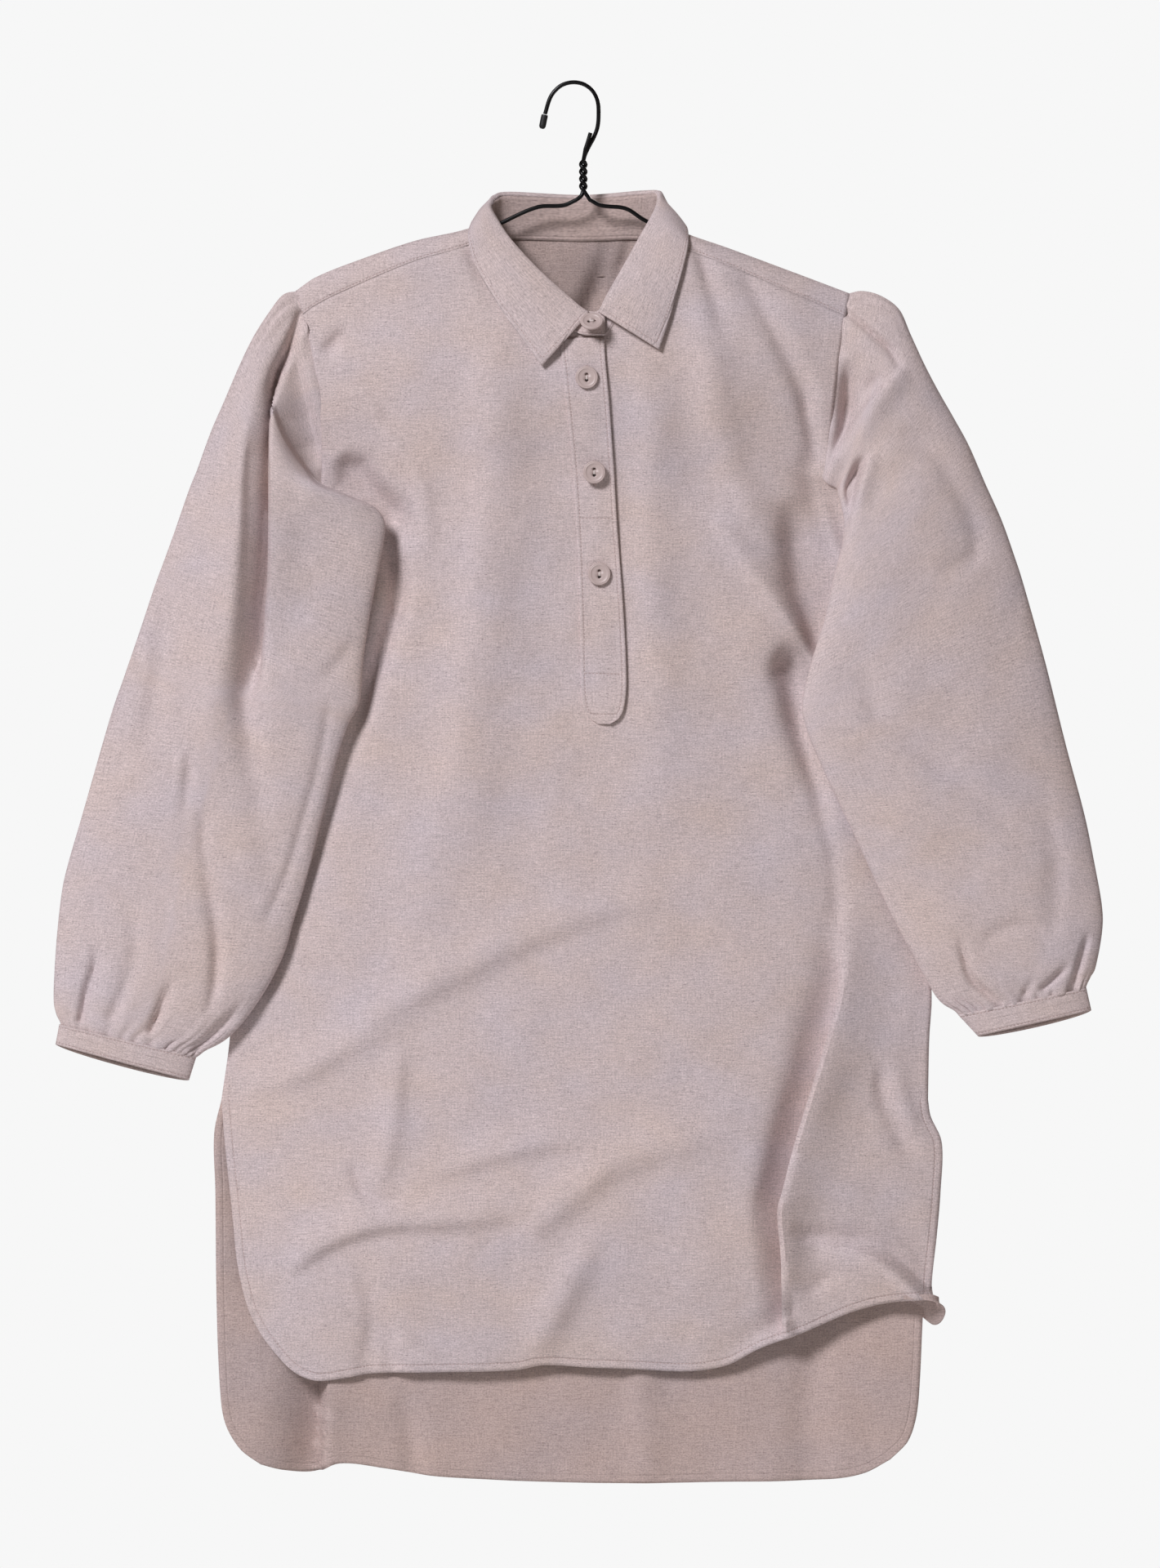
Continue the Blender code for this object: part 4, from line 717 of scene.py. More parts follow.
def edge_depth(z):
    """Half the gap between front and back along the body's edge."""
    s, bow = armhole_share(-1, z)
    slit = np.maximum(0.0, SLIT_TOP_Z - z) * SLIT_SPREAD
    return SIDE_HALF_GAP + SHOULDER_HALF_DEPTH * (1 - smoothstep(s)) + ARMHOLE_HALF_DEPTH * bow**2 + slit


def fold_depth(folds, x, z):
    """What a table of folds adds at each place."""
    total = np.zeros_like(x)
    for line in folds:
        rows = dense_rows(line)
        reach = 3 * rows[:, 3:].max()
        near = np.nonzero((x > rows[:, 0].min() - reach) & (x < rows[:, 0].max() + reach)
                          & (z > rows[:, 1].min() - reach) & (z < rows[:, 1].max() + reach))
        px, pz = x[near], z[near]
        nearest = np.full(px.shape, 1e9)
        depth, spread = np.zeros_like(px), np.ones_like(px)
        for start, end in zip(rows, rows[1:]):
            run_x, run_z = end[0] - start[0], end[1] - start[1]
            f = ((px - start[0]) * run_x + (pz - start[1]) * run_z) / (run_x**2 + run_z**2)
            f = np.clip(f, 0, 1)
            off_x, off_z = px - start[0] - f * run_x, pz - start[1] - f * run_z
            gap = np.hypot(off_x, off_z)
            closer = gap < nearest
            on_left = run_x * off_z - run_z * off_x > 0
            width = np.where(on_left, start[4] + (end[4] - start[4]) * f,
                             start[3] + (end[3] - start[3]) * f)
            nearest = np.where(closer, gap, nearest)
            depth = np.where(closer, start[2] + (end[2] - start[2]) * f, depth)
            spread = np.where(closer, width, spread)
        total[near] += depth * np.exp(-(nearest / spread) ** 2)
    return total


def dense_rows(line):
    """A fold's line, with smooth steps between its places."""
    line = np.array(line, dtype=float)
    stations = lengths(line[:, :2])
    t = np.interp(np.arange(3 * len(line) - 2) / 3, np.arange(len(line)), stations)
    return np.concatenate([through(stations, line[:, :2], t),
                           np.stack([np.interp(t, stations, c) for c in line[:, 2:].T], axis=1)], axis=1)


def ripple(x, z, phase):
    """Faint unevenness, as cloth has even where it hangs flat."""
    total = np.zeros_like(x)
    for length, turn, height in RIPPLES:
        along = x * math.cos(turn) + z * math.sin(turn)
        across = z * math.cos(turn) - x * math.sin(turn)
        total += height * np.sin(2 * np.pi * along / length + phase + 1.4 * np.sin(across / length))
    return total


def body_depth(x, z, face):
    """The y of the body cloth at a place, in front (face -1) or behind (face 1)."""
    x, z = np.asarray(x, dtype=float), np.asarray(z, dtype=float)
    left, right = body_edge(-1, z, face), body_edge(1, z, face)
    low, high = lens_edge(-1, z, face), lens_edge(1, z, face)
    across = np.clip(2 * (x - low) / (high - low) - 1, -1.0, 1.0)
    front_back = by_column(FULLNESS, z)
    fullness = front_back[..., 0] if face < 0 else front_back[..., 1]
    below = np.maximum(0.0, ridge(x) - z)
    over = (1 - np.exp(-below / SHOULDER_ROUNDING)) ** SHOULDER_POWER
    lens = 1 - np.abs(across) ** LENS_POWER
    side_calm = smoothstep(np.minimum(x - left, right - x) / EDGE_CALM)
    side_calm = np.maximum(side_calm, smoothstep((SLIT_TOP_Z - z) / SLIT_CALM_END))
    calm = side_calm * smoothstep(below / EDGE_CALM)
    form = face * (edge_depth(z) + fullness * lens) * over
    if face > 0:
        folds = fold_depth(BACK_FOLDS, x, z) * BACK_DEPTH
        return form - (folds + ripple(x, z, face)) * calm
    folds = (fold_depth(FRONT_FOLDS, x, z) * FRONT_DEPTH + ripple(x, z, face)) * calm
    room = np.maximum(body_depth(x, z, 1) - form - PANEL_ROOM, LEAST_ROOM)
    return form + np.where(folds > 0, room * np.tanh(folds / room), folds)


def on_body(x, z, face):
    """Places on the body's cloth."""
    return np.stack([x, body_depth(x, z, face), z], axis=-1)


def rooted(x, z, face):
    """A place as x and the root of its drop below the fold line, minus in front."""
    return np.stack([x, face * np.sqrt(np.maximum(0.0, ridge(x) - z))], axis=-1)


def on_root(x, root):
    """Places on the body cloth, from x and the root of the drop."""
    z = ridge(x) - root * root
    y = np.where(root < 0, body_depth(x, z, -1), body_depth(x, z, 1))
    return np.stack([x, y, z], axis=-1)


# The outlines of the body's pieces

NECK_ROWS = np.array(NECK, dtype=float)
NECK_ROOTED = rooted(NECK_ROWS[:, 0], NECK_ROWS[:, 1], NECK_ROWS[:, 2])


def neckline(row):
    """The neck seam at rows of its table, as x and the root of the drop."""
    return through(np.arange(len(NECK)), NECK_ROOTED, row)


def yoke_seam(side, t):
    """The front yoke seam from the neck (t 0) to the armhole (t 1), as x, z."""
    near = neckline(NECK_LEFT if side < 0 else NECK_RIGHT)
    arm_z = YOKE_SEAM_AT_ARM[side]
    far = rooted(armhole_x(side, arm_z), arm_z, -1)
    x, root = (near + (far - near) * np.asarray(t)[..., None]).T
    return np.stack([x, ridge(x) - root * root], axis=-1)


def chain(pieces):
    """An edge made of chains of places, each with its share of the edge."""
    shares = np.array([share for _, share in pieces], dtype=float)
    ends = np.concatenate([[0.0], np.cumsum(shares)]) / shares.sum()
    stations = [start + (end - start) * lengths(points)
                for (points, _), start, end in zip(pieces, ends, ends[1:])]
    t = np.concatenate(stations)
    places = np.concatenate([np.asarray(points, dtype=float) for points, _ in pieces])
    return lambda at: np.stack([np.interp(at, t, places[:, 0]), np.interp(at, t, places[:, 1])], axis=-1)


def patch(top, foot, left, right):
    """A surface between four edges, each read from 0 to 1 as x, z places."""

    def place(u, v):
        u, v = u[:, None], v[:, None]
        corners = [edge(np.array([end]))[0] for edge in (top, foot) for end in (0.0, 1.0)]
        above, below, before, after = top(u[:, 0]), foot(u[:, 0]), left(v[:, 0]), right(v[:, 0])
        return ((1 - v) * above + v * below + (1 - u) * before + u * after
                - (1 - u) * (1 - v) * corners[0] - u * (1 - v) * corners[1]
                - (1 - u) * v * corners[2] - u * v * corners[3])

    return place


def side_edge(side, start_z, slit, shares):
    """A panel's whole side: armhole, side seam and slit."""
    z = np.linspace(start_z, ARMHOLE_FOOT[side][1], 25)
    return chain([(np.stack([armhole_x(side, z), z], axis=-1), shares[0]),
                  (dense(SIDE_SEAM[side], 48), shares[1]), (dense(slit[side], 48), shares[2])])


def front_outline():
    """The front's four edges: neck and yoke seams, hem, and the two sides."""

    def neck(first, last):
        x, root = neckline(np.linspace(first, last, 33)).T
        return np.stack([x, ridge(x) - root * root - SEAM_GAP], axis=-1)

    drop = np.array([0.0, -SEAM_GAP])
    seam_left = yoke_seam(-1, np.linspace(1, 0, 21)) + drop
    seam_right = yoke_seam(1, np.linspace(0, 1, 21)) + drop
    neck_left = neck(NECK_LEFT, NECK_TAB)
    neck_right = neck(NECK_PLACKET, NECK_RIGHT)
    top = chain([(seam_left, 7), (neck_left, 4), ([neck_left[-1], neck_right[0]], 2),
                 (neck_right, 4), (seam_right, 7)])
    foot = chain([(dense(HEM_FRONT, 120), 1)])
    left = side_edge(-1, seam_left[0][1], SLIT_FRONT, FRONT_SIDE_SHARES)
    right = side_edge(1, seam_right[-1][1], SLIT_FRONT, FRONT_SIDE_SHARES)
    return top, foot, left, right


def under_lap(x, z, lap):
    """How far the cloth left of a fold's edge goes under it, from 0 at the fold's far side."""
    edge, share = by_column(lap, z).T
    gap = x - edge
    reach = LAP_REACH * share * smoothstep(1 + (gap + LAP_FULL_GAP) / LAP_SPAN)
    return np.where(gap < -LAP_EDGE_GAP, reach, 0.0)


def front_surface():
    """The front panel. One column of its grid follows the long fold's edge."""
    place = patch(*front_outline())

    def folded(u, v):
        x, z = place(u, v).T
        column = place(np.full_like(u, FRONT_LAP_COLUMN), v)[:, 0]
        edge = by_column(FRONT_LAP, z)[..., 0]
        near = smoothstep(1 - np.abs(u - FRONT_LAP_COLUMN) / FRONT_LAP_COLUMN_REACH)
        x += (edge - column) * near * smoothstep((FRONT_LAP_TOP - z) / FRONT_LAP_FADE)
        points = on_body(x, z, -1)
        points[:, 0] += under_lap(x, z, FRONT_LAP)
        return points

    return folded


def back_seam_z(x):
    """The back yoke seam's height, a little higher in the middle."""
    return BACK_YOKE_Z + BACK_YOKE_RISE * (1 - (x / ARMHOLE_FOOT[1][0]) ** 2)


def back_outline():
    """The back's four edges: yoke seam, hem, and the two sides."""
    sides = {side: armhole_x(side, BACK_YOKE_Z) for side in (-1, 1)}
    across = np.linspace(sides[-1], sides[1], 41)
    seam = np.stack([across, back_seam_z(across) - SEAM_GAP], axis=-1)
    left = side_edge(-1, seam[0][1], SLIT_BACK, BACK_SIDE_SHARES)
    right = side_edge(1, seam[-1][1], SLIT_BACK, BACK_SIDE_SHARES)
    return chain([(seam, 1)]), chain([(dense(HEM_BACK, 120), 1)]), left, right


def back_surface():
    """The back panel."""
    place = patch(*back_outline())
    return lambda u, v: on_body(*place(u, v).T, 1)


def yoke_surface():
    """A horseshoe round the neck, from the left front seam over the back to the right one."""

    def outer(u):
        side = np.where(u <= 0.5, -1, 1)
        t = np.minimum(u, 1 - u)
        places = np.zeros((len(u), 2))
        for one in (-1, 1):
            top = ARMHOLE_TOP[one][1]
            fold = 1 - t / YOKE_FOLD_AT
            fold_z = top + (YOKE_SEAM_AT_ARM[one] - top) * fold * fold
            arm = (t - YOKE_FOLD_AT) / (YOKE_CORNER_AT - YOKE_FOLD_AT)
            arm_z = top + (BACK_YOKE_Z - top) * arm * arm
            across = armhole_x(one, BACK_YOKE_Z) * (1 - (t - YOKE_CORNER_AT) / (0.5 - YOKE_CORNER_AT))
            for chosen, x, z, face in (
                (t < YOKE_FOLD_AT, armhole_x(one, fold_z), fold_z, -1),
                ((t >= YOKE_FOLD_AT) & (t < YOKE_CORNER_AT), armhole_x(one, arm_z), arm_z, 1),
                (t >= YOKE_CORNER_AT, across, back_seam_z(across), 1),
            ):
                chosen = chosen & (side == one)
                places[chosen] = rooted(x, z, face)[chosen]
        return places

    def place(u, v):
        near = neckline(NECK_LEFT + (NECK_RIGHT - NECK_LEFT) * u)
        x, root = (near + (outer(u) - near) * v[:, None]).T
        return on_root(x, root)

    return place


# The collar and the placket

def stand_surface():
    """The collar's band, from the neck seam up to the roll, with its tab over the placket."""
    rolls = [(r[3], r[5], r[4]) for r in NECK]

    def place(u, v):
        row = u * (len(NECK) - 1)
        low = on_root(*neckline(row).T)
        low[:, 1] -= np.where(row < NECK_TAB, TAB_LIFT[0], TAB_LIFT[1] * np.clip(NECK_TAB + 1 - row, 0, 1))
        low[:, 1] -= np.where((row > NECK_LEFT + 1) & (row < NECK_RIGHT - 1), STAND_BACK_OFFSET, 0.0)
        high = through(np.arange(len(NECK)), rolls, row)
        rise = high - low
        start = low + rise / np.linalg.norm(rise, axis=1, keepdims=True) * STAND_GAP
        return start + (high - start) * v[:, None]

    return place


def leaf_surface():
    """The collar's leaf, from the top of the band over the roll and down to its edge."""
    roll = [(r[0], r[2], r[1]) for r in LEAF]
    rows = np.array(LEAF, dtype=float)
    edge = rows[:, [3, 6, 4]]
    for face in (-1, 1):
        on_face = rows[:, 5] == face
        edge[on_face, 1] = body_depth(edge[on_face, 0], edge[on_face, 2], face) + face * rows[on_face, 6]
    stations = np.linspace(0, 1, len(LEAF))
    stand_top = through(np.arange(len(NECK)), [(r[3], r[5], r[4]) for r in NECK],
                        np.linspace(0, len(NECK) - 1, 600))

    def place(u, v):
        start, end = through(stations, roll, u), through(stations, edge, u)
        over = np.clip((v - LEAF_ROLL) / (1 - LEAF_ROLL), 0, 1)
        point = start + (end - start) * over[:, None]
        lean = np.clip(start[:, 1] * LEAF_LEAN, -1.0, 1.0)
        outwards = np.stack([np.zeros_like(lean), lean, 1 - np.abs(lean)], axis=-1)
        point += outwards * LEAF_BULGE * (np.sin(np.pi * over) ** LEAF_BULGE_POWER)[:, None]
        gaps = ((start[:, None, :] - stand_top[None, ::3, :]) ** 2).sum(axis=2)
        under = stand_top[::3][gaps.argmin(axis=1)] - start
        turn = 1 - np.clip(v / LEAF_ROLL, 0, 1)
        point += under * turn[:, None]
        point[:, 2] += LEAF_ROLL_HEIGHT * np.sin(np.pi * turn)
        return point

    return place


def placket_surface():
    """The upper placket band, on the front's cloth."""
    stations = lengths([row[:2] for row in PLACKET])

    def place(u, v):
        rows = through(stations, PLACKET, v)
        x = rows[:, 0] + (rows[:, 2] - rows[:, 0]) * u
        z = rows[:, 1] + (rows[:, 3] - rows[:, 1]) * u
        return np.stack([x, body_depth(x, z, -1) - placket_lift(u), z], axis=-1)

    return place


def on_placket(line):
    """Places on the placket from x and z."""
    x, z = line.T
    rows = by_column([(row[1], row[0], row[2]) for row in PLACKET], z)
    u = np.clip((x - rows[:, 0]) / np.maximum(rows[:, 1] - rows[:, 0], 1e-3), 0, 1)
    return np.stack([x, body_depth(x, z, -1) - placket_lift(u), z], axis=-1)


def placket_lift(u):
    """How far the placket stands off the front, across it."""
    rise = PLACKET_LIFT * smoothstep(u * PLACKET_LIFT_RATE)
    edge = smoothstep((u - 1 + PLACKET_EDGE_SHARE) / PLACKET_EDGE_SHARE)
    return PLACKET_LIFT_LEFT + rise + PLACKET_LIFT_RIGHT * edge


# The sleeves and cuffs

def ring_point(row, u):
    """Places on rings: u 0 at the outer end, 0.5 at the inner end, the front half first."""
    angle = 2 * np.pi * u
    s = (1 - np.cos(angle)) / 2
    depth = np.where(u <= 0.5, row[:, 6], row[:, 7])
    x = row[:, 0] + (row[:, 3] - row[:, 0]) * s
    y = row[:, 2] + (row[:, 5] - row[:, 2]) * s - depth * np.sin(angle)
    z = row[:, 1] + (row[:, 4] - row[:, 1]) * s
    return np.stack([x, y, z], axis=-1)


def uneven(n):
    """An uneven share from 0 to 1 for a gather's number, the same each run."""
    return np.modf(np.abs(np.sin(n * 12.9898 + 4.1) * 437.585))[0]


def armhole_ring(side, u):
    """The sleeve's first ring: it follows the armhole, just inside the body's cloth."""
    s = (1 - np.cos(2 * np.pi * u)) / 2
    top, foot = ARMHOLE_TOP[side][1], ARMHOLE_FOOT[side][1]
    z = top + (foot - top) * s
    x = armhole_x(side, z)
    x = x - side * (ARMHOLE_LAP + ARMHOLE_FOOT_LAP * s**4)
    y = np.where(u <= 0.5, body_depth(x, z, -1) + WALL, body_depth(x, z, 1) - WALL)
    y *= smoothstep(np.abs(np.sin(2 * np.pi * u)) / ARMHOLE_CLOSE)
    return np.stack([x, y, z], axis=-1)


def gathers(side, u, v):
    """How far the gathers over the cuff stand out, each of its own width, height and start."""
    angle = 2 * np.pi * u
    turn = u * GATHERS + 0.35 * np.sin(angle * 3 + side) + 0.25 * np.sin(angle * 7 + 2)
    count = np.floor(turn)
    start = GATHER_START + GATHER_START_RANGE * uneven(count + 50 * side)
    height = GATHER_HEIGHT + GATHER_HEIGHT_RANGE * uneven(count + 7)
    height = height * smoothstep((v - start) / (GATHER_END - start))
    lobe = np.abs(np.sin(np.pi * turn)) ** 0.6 - 0.6
    return height * lobe * smoothstep(np.abs(np.sin(angle)) / GATHER_CALM)


def head_pleats(u, v, first_station):
    """How far the pleats at the sleeve's head stand out."""
    from_head = np.minimum(u, 1 - u)
    share = smoothstep((HEAD_SPAN - from_head) / HEAD_SPAN_FADE) * smoothstep(v / first_station)
    share *= 1 - smoothstep(v / HEAD_PLEAT_END)
    share *= smoothstep(np.abs(np.sin(2 * np.pi * u)) / HEAD_CALM)
    return HEAD_PLEAT_HEIGHT * share * np.cos(np.pi * from_head / HEAD_SPAN * HEAD_PLEATS)


def sleeve_surface(side):
    """A sleeve from the armhole to the cuff. The left one's long fold laps over its inner side."""
    rows = SLEEVE[side]
    stations = np.linspace(0, 1, len(rows))

    def place(u, v):
        row = through(stations, rows, v)
        point = ring_point(row, u)
        first = ring_point(np.repeat(np.array([rows[0]], dtype=float), len(u), axis=0), u)
        fade = 1 - smoothstep(v / stations[3])
        point += (armhole_ring(side, u) - first) * fade[:, None]
        angle = 2 * np.pi * u
        front, back = u < 0.5, u > 0.5
        if side < 0:
            edge, share = by_column(SLEEVE_LAP, (row[:, 1] + row[:, 4]) / 2).T
            near = smoothstep(1 - np.abs(u - SLEEVE_LAP_COLUMN) / SLEEVE_LAP_COLUMN_REACH)
            near *= smoothstep(share * 5)
            near *= smoothstep((v - stations[3]) / (stations[6] - stations[3]))
            point[:, 0] += (edge - (row[:, 0] + row[:, 3]) / 2) * near
        round_off = np.sqrt(np.abs(np.sin(angle)))
        x, z = point[:, 0], point[:, 2]
        room = np.maximum(0.0, (row[:, 6] + row[:, 7]) * np.abs(np.sin(angle)) - SLEEVE_ROOM)
        folds = fold_depth(SLEEVE_FOLDS[side], x, z) * SLEEVE_DEPTH + ripple(x, z, side)
        point[:, 1] += np.where(front, np.minimum(folds * round_off, room), 0)
        point[:, 1] -= np.where(back, fold_depth(SLEEVE_BACK_FOLDS[side], x, z), 0) * round_off
        if side < 0:
            point[:, 0] += np.where(u < SLEEVE_LAP_END, under_lap(x, z, SLEEVE_LAP), 0) * round_off
        outer = np.stack([row[:, 0] - row[:, 3], np.zeros(len(u)), row[:, 1] - row[:, 4]], axis=-1)
        outer /= np.linalg.norm(outer, axis=1, keepdims=True)
        outwards = outer * np.cos(angle)[:, None]
        outwards[:, 1] -= np.sin(angle)
        tuck = smoothstep((v - TUCK_START) / TUCK_SPAN)
        point[:, 2] -= tuck * TUCK_DROP
        wave = gathers(side, u, v) - tuck * TUCK_DEPTH + head_pleats(u, v, stations[1])
        return point + outwards * wave[:, None]

    return place


def cuff_surface(side):
    """A cuff's band, whose back hangs a little lower."""

    def place(u, v):
        top, hem = np.array(CUFF[side], dtype=float)
        row = top + (hem - top) * v[:, None]
        point = ring_point(row, u)
        point[:, 2] -= np.where(u > 0.5, CUFF_BACK_DROP * v * np.sin(np.pi * (2 * u - 1)), 0)
        return point

    return place


# Materials

def node(tree, kind, inputs=None, **settings):
    """Adds one shader node, with its settings, and its inputs as values or links."""
    made = tree.nodes.new(kind)
    for name, value in settings.items():
        setattr(made, name, value)
    for socket, value in (inputs or {}).items():
        if isinstance(value, bpy.types.NodeSocket):
            tree.links.new(value, made.inputs[socket])
        else:
            made.inputs[socket].default_value = value
    return made


def colour(code):
    """An sRGB hex colour as linear values."""
    parts = [int(code[i:i + 2], 16) / 255 for i in (1, 3, 5)]
    return tuple(c / 12.92 if c <= 0.04045 else ((c + 0.055) / 1.055) ** 2.4 for c in parts) + (1.0,)


def new_material(name, **sockets):
    """A material, its node tree and its surface, with values set on the surface's sockets."""
    made = bpy.data.materials.new(name)
    made.use_nodes = True
    surface = made.node_tree.nodes["Principled BSDF"]
    for socket, value in sockets.items():
        surface.inputs[socket.replace("_", " ")].default_value = value
    return made, made.node_tree, surface


def brushed_cotton(name, pale, mauve):
    """Brushed cotton chambray: pale and mauve threads woven plain, then raised to a soft nap.
    It shows slubs along the weft, fainter ones along the warp, dark flecks and a matt bloom.
    The threads are drawn about 1 mm apart, coarser than in real chambray, so that they show."""
    made, tree, surface = new_material(
        name, Roughness=0.92, Sheen_Weight=0.06, Sheen_Roughness=0.5,
        Sheen_Tint=colour("#e6dadb"), Specular_IOR_Level=0.15)
    grain = node(tree, "ShaderNodeUVMap", uv_map="cloth_grain").outputs["UV"]

    def streaks(across, along, detail, rough=0.6):
        """Noise stretched to marks of that size, in millimetres across and along the piece."""
        spread = node(tree, "ShaderNodeMapping", {"Vector": grain,
                                                  "Scale": (1000 / across, 1000 / along, 1)})
        return node(tree, "ShaderNodeTexNoise", {"Vector": spread.outputs["Vector"], "Scale": 1.0,
                                                 "Detail": detail, "Roughness": rough}).outputs["Fac"]

    def maths(operation, first, second):
        return node(tree, "ShaderNodeMath", {0: first, 1: second}, operation=operation).outputs[0]

    weft = streaks(19, 1.2, 2)
    fine_weft = streaks(7, 0.9, 1)
    warp = streaks(1.1, 15, 1)
    threads = streaks(1.3, 1.1, 0)
    patches = streaks(95, 70, 2)
    shade = maths("ADD", maths("MULTIPLY", maths("SUBTRACT", weft, 0.5), 0.42), 1.04)
    for mark, strength in ((fine_weft, 0.5), (warp, 0.3), (threads, 0.6)):
        shade = maths("ADD", shade, maths("MULTIPLY", maths("SUBTRACT", mark, 0.5), strength))
    tone = node(tree, "ShaderNodeValToRGB", {"Fac": patches})
    ramp = tone.color_ramp
    ramp.elements[0].position, ramp.elements[0].color = 0.3, colour(pale)
    ramp.elements[1].position, ramp.elements[1].color = 0.7, colour(mauve)
    lit = node(tree, "ShaderNodeVectorMath", {0: tone.outputs["Color"], "Scale": shade}, operation="SCALE")
    fleck = node(tree, "ShaderNodeMapRange", {"Value": streaks(3.2, 0.9, 0), "From Min": 0.72,
                                              "From Max": 0.8})
    mixed = node(tree, "ShaderNodeMix", {"Factor": maths("MULTIPLY", fleck.outputs["Result"], 0.45),
                                         6: lit.outputs["Vector"], 7: colour("#6f5c60")}, data_type="RGBA")
    tree.links.new(mixed.outputs[2], surface.inputs["Base Color"])
    height = maths("ADD", maths("MULTIPLY", weft, 0.35), maths("MULTIPLY", threads, 0.35))
    height = maths("ADD", height, maths("MULTIPLY", fine_weft, 0.3))
    line = node(tree, "ShaderNodeAttribute", attribute_name="stitch_line").outputs["Fac"]
    near = node(tree, "ShaderNodeMapRange", {"Value": maths("ABSOLUTE", line, 0.0), "From Min": 0.0,
                                             "From Max": 1.1, "To Min": -1.6, "To Max": 0.0},
                interpolation_type="SMOOTHSTEP")
    height = maths("ADD", height, near.outputs["Result"])
    bump = node(tree, "ShaderNodeBump", {"Height": height, "Strength": 0.55, "Distance": 0.35 * MM})
    tree.links.new(bump.outputs["Normal"], surface.inputs["Normal"])
    return made


def finish_mesh(name, bm, finish, sharp=False):
    """The object made of a mesh, smooth all over unless its own sharp edges stay."""
    for face in bm.faces:
        face.smooth = True
    mesh = bpy.data.meshes.new(name)
    bm.to_mesh(mesh)
    bm.free()
    mesh.materials.append(finish)
    if not sharp:
        mesh.shade_smooth()
    made = bpy.data.objects.new(name, mesh)
    bpy.context.scene.collection.objects.link(made)
    return made


def sewing_thread(name, shade, roughness):
    """Spun polyester thread, dyed to the cloth or paler: matt, with a faint fuzz."""
    return new_material(name, Base_Color=colour(shade), Roughness=roughness, Sheen_Weight=0.2)[0]


def button_resin():
    """Mauve polyester resin, turned and tumbled: satin, faintly clouded."""
    made, tree, surface = new_material("mauve_button_resin", Roughness=0.42, IOR=1.5,
                                       Specular_IOR_Level=0.45)
    place = node(tree, "ShaderNodeTexCoord").outputs["Object"]
    cloud = node(tree, "ShaderNodeTexNoise", {"Vector": place, "Scale": 170.0,
                                              "Detail": 3.0}).outputs["Fac"]
    tone = node(tree, "ShaderNodeMix", {"Factor": cloud, 6: colour("#bba8a3"), 7: colour("#c7b5b0")},
                data_type="RGBA")
    tree.links.new(tone.outputs[2], surface.inputs["Base Color"])
    fine = node(tree, "ShaderNodeTexNoise", {"Vector": place, "Scale": 900.0, "Detail": 2.0}).outputs["Fac"]
    bump = node(tree, "ShaderNodeBump", {"Height": fine, "Strength": 0.15, "Distance": 0.05 * MM})
    tree.links.new(bump.outputs["Normal"], surface.inputs["Normal"])
    return made


# Cloth and its stitches

def line_distance(places, lines):
    """How far each place is from the nearest line of stitches, with a sign for its side."""
    if not lines:
        return np.full(len(places), NO_STITCH)
    starts, runs = [], []
    for line in lines:
        fine = dense(line, max(8, int(np.linalg.norm(np.diff(line, axis=0), axis=1).sum() / 2.5)))
        starts.append(fine[:-1])
        runs.append(np.diff(fine, axis=0))
    starts, runs = np.concatenate(starts), np.concatenate(runs)
    tree = KDTree(len(starts))
    for index, start in enumerate(starts):
        tree.insert((start[0], start[1], 0.0), index)
    tree.balance()
    nearest = np.array([tree.find((x, y, 0.0))[1] for x, y in places])
    away = places - starts[nearest]
    run = runs[nearest]
    f = np.clip((away * run).sum(axis=1) / (run**2).sum(axis=1), -1, 1)
    off = away - run * f[:, None]
    side = np.sign(run[:, 0] * off[:, 1] - run[:, 1] * off[:, 0])
    return side * np.linalg.norm(off, axis=1)


def cloth(name, node_name, place, grid, wall=WALL, grain=None, tube=False, lines=(), finish=None):
    """A piece of cloth and its surface: a grid laid on its form. Its grain and its lines of
    stitches are in millimetres: x and z on the body, or along and down a piece of grain's size."""
    across, down = grid
    bm = bmesh.new()
    bmesh.ops.create_grid(bm, x_segments=across, y_segments=down, size=0.5)
    u = np.array([vert.co.x for vert in bm.verts]) + 0.5
    v = np.array([vert.co.y for vert in bm.verts]) + 0.5
    points = place(u, v)
    if tube:
        steps = np.linspace(0, 1, 201)
        u = np.interp(u, steps, lengths(place(steps, np.full_like(steps, 0.5))))
        v = np.interp(v, steps, lengths(place(np.full_like(steps, 0.25), steps)))
    grain_at = np.stack([u * grain[0], v * grain[1]], axis=-1) if grain else points[:, [0, 2]]
    line_at = line_distance(grain_at, lines)
    line_layer = bm.verts.layers.float.new("stitch_line")
    grain_map = bm.loops.layers.uv.new("cloth_grain")
    bm.verts.index_update()
    for vert, point, at in zip(bm.verts, points * MM, line_at):
        vert.co = point
        vert[line_layer] = at
    for face in bm.faces:
        for loop in face.loops:
            loop[grain_map].uv = grain_at[loop.vert.index] * MM
    if tube:
        bmesh.ops.remove_doubles(bm, verts=bm.verts, dist=SAME_PLACE)
    bmesh.ops.recalc_face_normals(bm, faces=bm.faces)
    if not tube and sum(face.normal.y * face.calc_center_median().y for face in bm.faces) < 0:
        bmesh.ops.reverse_faces(bm, faces=bm.faces)
    bm.normal_update()
    for edge in bm.edges:
        edge.smooth = edge.calc_face_angle(0.0) < SHARP_FOLD
    surface = BVHTree.FromBMesh(bm)
    made = finish_mesh(name, bm, finish or cotton, True)
    # The inner face of every piece takes the darker copy of the cloth: painted shade
    made.data.materials.append(cotton_inside_painted_shade)
    thick = made.modifiers.new("wall", "SOLIDIFY")
    thick.material_offset = 1
    thick.thickness = wall * MM
    thick.offset = 0.0
    thick.use_quality_normals = True
    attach(made, "root")
    if node_name:
        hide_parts(node_name)
    return made, surface


